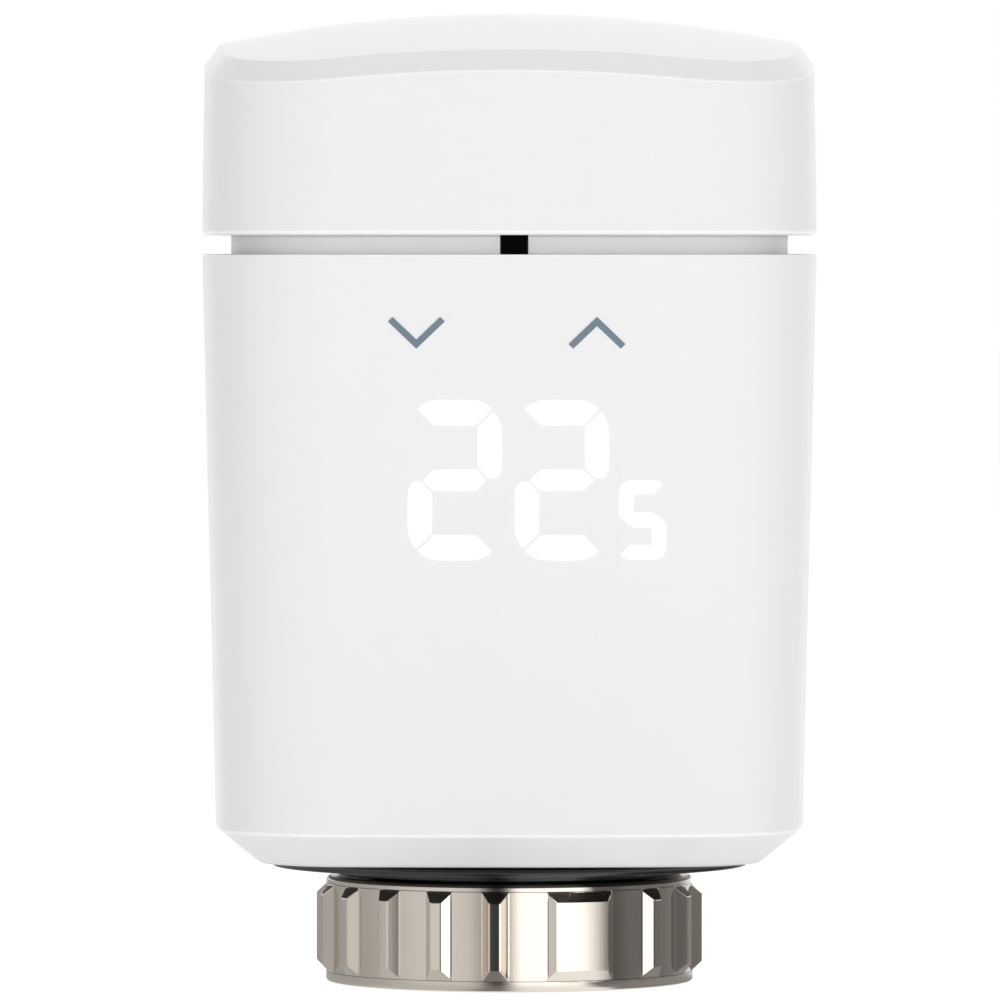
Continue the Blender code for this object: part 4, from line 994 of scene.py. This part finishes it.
def block(low, high):
    builder = bmesh.new()
    low, high = Vector(low), Vector(high)
    size = Matrix.Diagonal(high - low).to_4x4()
    bmesh.ops.create_cube(builder, size=1.0, matrix=Matrix.Translation((high + low) / 2) @ size)
    return builder


def break_edges(made, width_mm, limit_deg):
    """Rounds every edge sharper than the limit, before the shading is evened."""
    bevel = made.modifiers.new("broken_edges", "BEVEL")
    bevel.limit_method = "ANGLE"
    bevel.angle_limit = math.radians(limit_deg)
    bevel.width = width_mm * MM
    bevel.segments = BEVEL_SEGMENTS
    made.modifiers.move(len(made.modifiers) - 1, 0)


SLOT_OF = {part["node"]: part["material_slot"] for part in frame["record"]["subparts"]}
BODY_OF = {node: body_of(shown)[0] for node, shown in frame["nodes"].items()}


def refined(node, edge_mm):
    """A welded copy of a CAD node with its edges broken."""
    builder = bmesh.new()
    builder.from_mesh(frame["nodes"][node].data)
    bmesh.ops.remove_doubles(builder, verts=builder.verts, dist=WELD_MM * MM)
    bmesh.ops.dissolve_limit(builder, angle_limit=math.radians(FLAT_DEG), verts=builder.verts,
                             edges=builder.edges)
    bmesh.ops.recalc_face_normals(builder, faces=builder.faces)
    mesh = mesh_of(node, builder)
    mesh.materials.clear()
    mesh.materials.append(FINISHES[SLOT_OF[node]].material)
    made = place_piece("made_" + node, mesh, SLOT_OF[node], BODY_OF[node], [node],
                       sharp_deg=REFINED_SHARP_DEG)
    if edge_mm:
        break_edges(made, edge_mm, REFINED_SHARP_DEG + 2.0)


def make_chassis():
    """Neck and deck in one moulding, with the wells that the cells stand in."""
    inside = NECK_HALF - NECK_WALL
    deck_top = DECK_Z + DECK_THICKNESS
    wells = [((low.x + high.x) / 2, (low.y + high.y) / 2) for low, high in zip(CELL_LOW, CELL_HIGH)]
    rings = [
        body_ring(NECK_HALF, DECK_Z),
        body_ring(NECK_HALF, NECK_TOP_Z, 0.35),
        body_ring(inside, NECK_TOP_Z, 0.3),
        body_ring(inside, deck_top, 0.4),
        body_ring(inside - DECK_RIM, deck_top),
    ]
    cutters = [turned([(WELL_BORE, DECK_Z - 1), (WELL_BORE, deck_top + 1)], centre)
               for centre in wells]
    front, back = WINDOW_SLOT_Y
    cutters.append(block((WINDOW_LOW.x - WINDOW_PLAY, front, WINDOW_LOW.z - GAP),
                         (WINDOW_HIGH.x + WINDOW_PLAY, back, WINDOW_HIGH.z + WINDOW_PLAY)))
    shell = piece("neck_and_deck", carved(loft(rings), cutters), "inner_white", "head",
                  ["inner_chassis"])
    break_edges(shell, 0.08, 50.0)
    floor, rim = WELL_Z + WELL_FLOOR, deck_top + WELL_RISE
    for number, (centre, other) in enumerate(zip(wells, reversed(wells)), start=1):
        outer = WELL_BORE + WELL_WALL
        well = turned([(0.0, WELL_Z), (outer, WELL_Z, 0.2), (outer, rim, 0.2),
                       (WELL_BORE, rim, 0.3), (WELL_BORE, floor), (0.0, floor)], centre)
        room = turned([(WELL_BORE, floor), (WELL_BORE, deck_top + 1.0)], other)
        piece(f"cell_well_{number}", carved(well, [room]), "inner_white", "head")


def make_cells():
    """Two cells: sleeve, steel can, and the ring round the raised end."""
    for number, (low, high) in enumerate(zip(CELL_LOW, CELL_HIGH), start=1):
        centre = ((low.x + high.x) / 2, (low.y + high.y) / 2)
        length = high.z - low.z
        radius = (high.x - low.x) / 2

        def stood(profile, closed=True):
            """Turns a profile measured from the flat end, which is down in the first cell."""
            flat_end, way = (low.z, 1) if number == 1 else (high.z, -1)
            return turned([(r, flat_end + way * z, *reach) for r, z, *reach in profile], centre,
                          closed=closed)

        sleeve = [(radius - 1.0, 0.12), (radius - 0.9, 0.0, 0.05), (radius, 0.0, 0.35),
                  (radius, length - 1.45, 0.3), (radius - 0.5, length - 1.0, 0.15),
                  (radius - 1.1, length - 1.0), (radius - 1.1, length - 1.2),
                  (radius - 1.2, length - 1.4), (radius - 1.2, 0.4)]
        can = [(0.0, 0.06), (radius - 2.2, 0.06, 0.2), (radius - 2.0, 0.22, 0.2),
               (radius - 0.95, 0.22), (radius - 1.25, 1.0), (radius - 1.25, length - 1.6),
               (radius - 2.2, length - 1.35), (3.3, length - 1.35, 0.2), (2.7, length - 1.0, 0.2),
               (2.7, length, 0.35), (0.0, length)]
        apart = [(3.4, length - 1.5), (3.4, length - 1.12, 0.05), (radius - 1.05, length - 1.12),
                 (radius - 1.05, length - 1.5)]
        piece(f"cell_{number}_sleeve", stood(sleeve), "cell_wrap", "head",
              [f"battery_{number}"])
        piece(f"cell_{number}_can", stood(can, closed=False), "steel", "head")
        piece(f"cell_{number}_ring", stood(apart), "diffuser", "head")


def make_polarity():
    """Raised plus and minus beside the wells on the deck."""
    deck_top = DECK_Z + DECK_THICKNESS
    arm, stroke = SIGN_ARM, SIGN_STROKE
    plus, part = [], [(-arm, -stroke), (-stroke, -stroke), (-stroke, -arm)]
    for _ in range(4):
        plus += part
        part = [(-v, u) for u, v in part]
    minus = [(-arm, -stroke), (arm, -stroke), (arm, stroke), (-arm, stroke)]
    for name, cell, corners in (("plus", 0, plus), ("minus", 1, minus)):
        x, y = CELL_LOW[cell].x + CELL_RADIUS, CELL_LOW[0].y + SIGN_Y
        points = [(x + u, y + v) for u, v in corners]
        solid = loft([ring(points, deck_top - SIGN_SINK), ring(points, deck_top + SIGN_RISE)])
        break_edges(piece(f"polarity_{name}", solid, "inner_white", "head"), 0.08, 40.0)


def make_insert():
    """The cap's inner cup, which closes over the cells."""
    low, high = INSERT_LOW.z, INSERT_HIGH.z
    slope_z = high - INSERT_SLOPE
    inside = INSERT_HALF - INSERT_SKIRT
    rings = [
        ring([(0.0, 0.0)], high),
        body_ring(INSERT_ROOF_HALF, high, 0.2),
        body_ring(INSERT_HALF, slope_z, 0.3),
        body_ring(INSERT_HALF, low, 0.25),
        body_ring(inside, low, 0.25),
        body_ring(inside, slope_z - 0.5, 0.3),
        body_ring(INSERT_ROOF_HALF - INSERT_SKIRT, high - INSERT_ROOF, 0.2),
        ring([(0.0, 0.0)], high - INSERT_ROOF),
    ]
    piece("cap_inner_cup", loft(rings), "inner_white", "lid", ["cap_insert"])


def make_base():
    """Black base disc, and the spigot that the nut turns on with its thrust collar."""
    low, high, rim = BASE_LOW.z, BASE_HIGH.z, BASE_RADIUS
    disc = [(rim - 0.2, low, 0.1), (rim, low + 0.2, 0.12), (rim, low + DISC_LIP, 0.12),
            (BOSS_RADIUS, low + DISC_LIP), (BOSS_RADIUS, high, 0.2), (DISC_BORE, high),
            (DISC_BORE, low, 0.15), (14.6, low, 0.1), (14.7, low + 0.12, 0.05),
            (18.4, low + 0.12, 0.05), (18.5, low, 0.1)]
    piece("base_disc", turned(disc, closed=True), "matt_black", "head", ["base_plate"])
    bottom, top = SPIGOT_LOW.z, SPIGOT_HIGH.z
    groove_low, groove_high = (bottom + z for z in GROOVE_Z)
    step = top - CROWN_DEPTH
    spigot = [(SPIGOT_RADIUS, bottom, 0.12), (SPIGOT_RADIUS, groove_low),
              (GROOVE_RADIUS, groove_low), (GROOVE_RADIUS, groove_high),
              (SPIGOT_RADIUS, groove_high, 0.1), (SPIGOT_RADIUS, low - 0.7),
              (COLLAR_RADIUS, low - 0.7, 0.12), (COLLAR_RADIUS, low - 0.1, 0.12),
              (SPIGOT_RADIUS, low - 0.1), (SPIGOT_RADIUS, top - 1.0),
              (FLANGE_RADIUS, top - 1.0, 0.2), (FLANGE_RADIUS, top, 0.2), (PLUNGER_HOLE, top),
              (PLUNGER_HOLE, step), (SPIGOT_BORE, step), (SPIGOT_BORE, bottom, 0.2)]
    length, width = KEYWAY_HALF
    keyway = block((-length, -width, bottom - 1.0), (length, width, step))
    body = piece("spigot", carved(turned(spigot, closed=True), [keyway]), SLOT_OF["valve_spigot"],
                 "head", ["valve_spigot"])
    break_edges(body, 0.06, 50.0)


REFINED = {  # CAD nodes shown as they are, and how wide their edges are broken
    "nut_retaining_ring": 0.08, "plunger": 0.0, "sensor_window": 0.12,
    "temperature_sensor": 0.06, "circuit_board": 0.05, "control_chip": 0.08, "radio_module": 0.08,
    "display_light_guide": 0.1, "display_mask": 0.0, "contact_bridge": 0.08,
    "contact_plate_bottom": 0.08, "motor_can": 0.15, "motor_bush": 0.08, "motor_pinion": 0.04,
    "gearbox_base": 0.12, "gearbox_cover": 0.12, "drive_gear": 0.05, "first_gear": 0.04,
    "second_gear": 0.04, "axle_1": 0.1, "axle_2": 0.1, "thrust_washer": 0.08,
    "touch_pad_up": 0.03, "touch_pad_down": 0.03, "gearbox_screw_1": 0.1, "gearbox_screw_2": 0.1,
    "gearbox_screw_3": 0.1, "gearbox_screw_4": 0.1,
}


# ---- stage ----
WHITE = (1.0, 1.0, 1.0)
FLOOR_RADIUS = 6.0
FLOOR_SIDES = 64
FLOOR_COLOUR = (0.95, 0.95, 0.945)
FLOOR_STRENGTH = 1.17
FLOOR_GLOW = 0.82  # share of the floor's own light for the rays that look
FLOOR_BOUNCE = 0.1  # and for the rays that light the object
AMBIENT = 0.265
WALL_RADIUS = 24.0  # close in, so that the floor doesn't hide it from the nut
WALL_LOW = 0.12
WALL_HIGH = 9.9
MAT_INNER = 16.0
MAT_SHARE = 0.55
MAT_TONE = 0.2
CARD_RADIUS = 60.0
CARD_HALF_DEG = 48.0
CARD_HIGH = 95.0
CARD_TONE = 0.02
WALL_STEP_DEG = 2.0
# direction from the front towards the object's right, and how bright the wall is there
WALL_TONES = [(-180, 0.12), (-165, 0.8), (-140, 0.9), (-116, 0.36), (-94, 0.42), (-71, 0.47),
              (-55, 0.57), (-49, 0.67), (-42, 0.74), (-25, 0.82), (-17, 0.74), (-12, 0.5),
              (-9, 0.14), (-6, 0.05), (-3, 0.06), (-1, 0.35), (3, 1.3), (6, 1.6), (29, 1.7),
              (33, 1.0), (36, 0.13), (48, 0.12), (55, 0.18), (80, 0.2), (97, 0.3), (109, 0.8),
              (128, 1.2), (150, 0.45), (170, 0.4), (180, 0.12)]
LAMP_DISTANCE = 1.2
LAMP_AIM = Vector((0.0, 0.0, 0.045))
LAMPS = [  # name, turn, rise, width, height, share of a plain exposure
    ("key_lamp", 26.0, 3.0, 0.7, 0.2, 0.3),
    ("fill_lamp", -18.0, 3.0, 0.7, 0.2, 0.257),
    ("left_rim_lamp", -150.0, 8.0, 0.4, 0.4, 0.27),
    ("right_rim_lamp", 150.0, 8.0, 0.4, 0.4, 0.27),
    ("back_top_lamp", 180.0, 60.0, 0.8, 0.8, 0.84),
]
LENS_MM = 396.5
SENSOR_MM = 36.0
CAMERA_STAND = Vector((-0.83, -970.0, 64.86))
CAMERA_AIM = Vector((-0.83, 0.0, 42.38))


class Surface(Graph):
    """A material made of plain shaders."""

    def __init__(self, name):
        self.material = bpy.data.materials.new(name)
        self.material.use_nodes = True
        self.material.node_tree.nodes.clear()
        super().__init__(self.material.node_tree)

    def glow(self, colour, strength):
        return self.node("ShaderNodeEmission", {"Color": colour, "Strength": strength})

    def mix(self, share, first, second):
        return self.node("ShaderNodeMixShader", {0: share, 1: first, 2: second})

    def end(self, shader):
        self.node("ShaderNodeOutputMaterial", {"Surface": shader})
        return self.material


def seen(graph):
    """1 for the rays that look: camera, mirror and see-through ones."""
    path = graph.node("ShaderNodeLightPath")
    rays = path + path.out("Is Glossy Ray") + path.out("Is Transmission Ray")
    return rays.math("MINIMUM", 1.0)


def make_floor():
    """Pale sheet under the nut: white to the eye, with a soft contact shadow."""
    graph = Surface("pale_floor")
    lit = graph.node("ShaderNodeBsdfDiffuse", {"Color": FLOOR_COLOUR})
    glow = graph.glow(WHITE, FLOOR_STRENGTH)
    looked_at = graph.mix(FLOOR_GLOW, lit, glow)
    bounce = graph.mix(FLOOR_BOUNCE, lit, glow)
    upper = graph.mix(seen(graph), bounce, looked_at)
    facing = graph.node("ShaderNodeNewGeometry").out("Backfacing")
    material = graph.end(graph.mix(facing, upper, graph.node("ShaderNodeBsdfTransparent")))
    builder = bmesh.new()
    bmesh.ops.create_circle(builder, cap_ends=True, segments=FLOOR_SIDES, radius=FLOOR_RADIUS)
    added("floor", mesh_of("floor", builder, material))


def make_studio_wall():
    """Curved wall of tones that only mirrors see: it gives the nickel its bands."""
    graph = Surface("studio_wall")
    place = graph.node("ShaderNodeTexCoord").out("Object")
    parts = graph.node("ShaderNodeSeparateXYZ", {"Vector": place})
    angle = parts.math("ARCTAN2", 0.0 - parts.out("Y"))
    ramp = graph.node("ShaderNodeValToRGB", {"Fac": (angle.math("DEGREES") + 180.0) / 360.0})
    stops = ramp.socket.node.color_ramp.elements
    stops.remove(stops[0])
    for number, (degrees, tone) in enumerate(WALL_TONES):
        at = (degrees + 180.0) / 360.0
        stop = stops[0] if number == 0 else stops.new(at)
        stop.position = at
        stop.color = (tone, tone, tone, 1.0)
    standing = (parts.out("Z") / MM).math("GREATER_THAN", WALL_LOW + 0.01)
    tone = graph.glow(ramp, standing + (1.0 - standing) * MAT_SHARE)
    base_glow = graph.glow(WHITE, (1.0 - standing) * MAT_TONE)
    wall = graph.end(graph.node("ShaderNodeAddShader", {0: tone, 1: base_glow}))
    stand_wall("studio_wall", wall, WALL_RADIUS, 180.0, [WALL_LOW, WALL_HIGH])
    stand_wall("studio_mat", wall, WALL_RADIUS, 180.0, [WALL_LOW])
    card = Surface("dark_card")
    dark = card.end(card.glow(WHITE, CARD_TONE))
    stand_wall("dark_card", dark, CARD_RADIUS, CARD_HALF_DEG, [WALL_HIGH, CARD_HIGH])


def stand_wall(name, material, radius, half_deg, heights):
    """A curved strip round the object, or a flat ring, that only mirrors show."""
    builder = bmesh.new()
    steps = int(half_deg / WALL_STEP_DEG)
    places = [(radius, z) for z in heights]
    if len(places) == 1:
        places.append((MAT_INNER, heights[0]))
    columns = []
    for step in range(2 * steps + 1):
        turn = math.radians(half_deg * (step - steps) / steps)
        columns.append([builder.verts.new((r * MM * math.sin(turn), -r * MM * math.cos(turn),
                                           z * MM)) for r, z in places])
    for left, right in zip(columns, columns[1:]):
        builder.faces.new((left[0], right[0], right[1], left[1]))
    wall = added(name, mesh_of(name, builder, material))
    for rays in ("camera", "diffuse", "shadow", "transmission", "volume_scatter"):
        setattr(wall, f"visible_{rays}", False)


def lamp(name, turn_deg, rise_deg, width, height, share):
    """Soft lamp in a direction, giving that share of a plain exposure."""
    data = bpy.data.lights.new(name, "AREA")
    data.shape = "RECTANGLE"
    data.size = width
    data.size_y = height
    data.energy = share * (math.pi * LAMP_DISTANCE) ** 2
    made = added(name, data)
    turn, rise = math.radians(turn_deg), math.radians(rise_deg)
    out = Vector((math.sin(turn) * math.cos(rise), -math.cos(turn) * math.cos(rise),
                  math.sin(rise)))
    made.location = LAMP_AIM + out * LAMP_DISTANCE
    made.rotation_euler = out.to_track_quat("Z", "Y").to_euler()
    made.visible_camera = False
    made.visible_glossy = False


def make_sky():
    world = bpy.data.worlds.new("sky")
    scene.world = world
    world.use_nodes = True
    world.node_tree.nodes.clear()
    graph = Graph(world.node_tree)
    light = seen(graph) * (1.0 - AMBIENT) + AMBIENT
    sky = graph.node("ShaderNodeBackground", {"Color": WHITE, "Strength": light})
    graph.node("ShaderNodeOutputWorld", {"Surface": sky})


def make_camera():
    """Long lens a little above the middle, aimed level with the figures."""
    data = bpy.data.cameras.new("camera")
    data.lens = LENS_MM
    data.sensor_width = SENSOR_MM
    made = added("camera", data)
    made.location = CAMERA_STAND * MM
    made.rotation_euler = (CAMERA_AIM - CAMERA_STAND).to_track_quat("-Z", "Y").to_euler()
    scene.camera = made


# ---- making it all ----
scene.view_settings.view_transform = "Standard"
make_camera()
make_floor()
make_studio_wall()
make_sky()
for settings in LAMPS:
    lamp(*settings)

make_housing()
make_cap()
make_marks()
make_nut()
make_chassis()
make_cells()
make_coils()
make_polarity()
make_insert()
make_base()
for part_name, edge in REFINED.items():
    refined(part_name, edge)
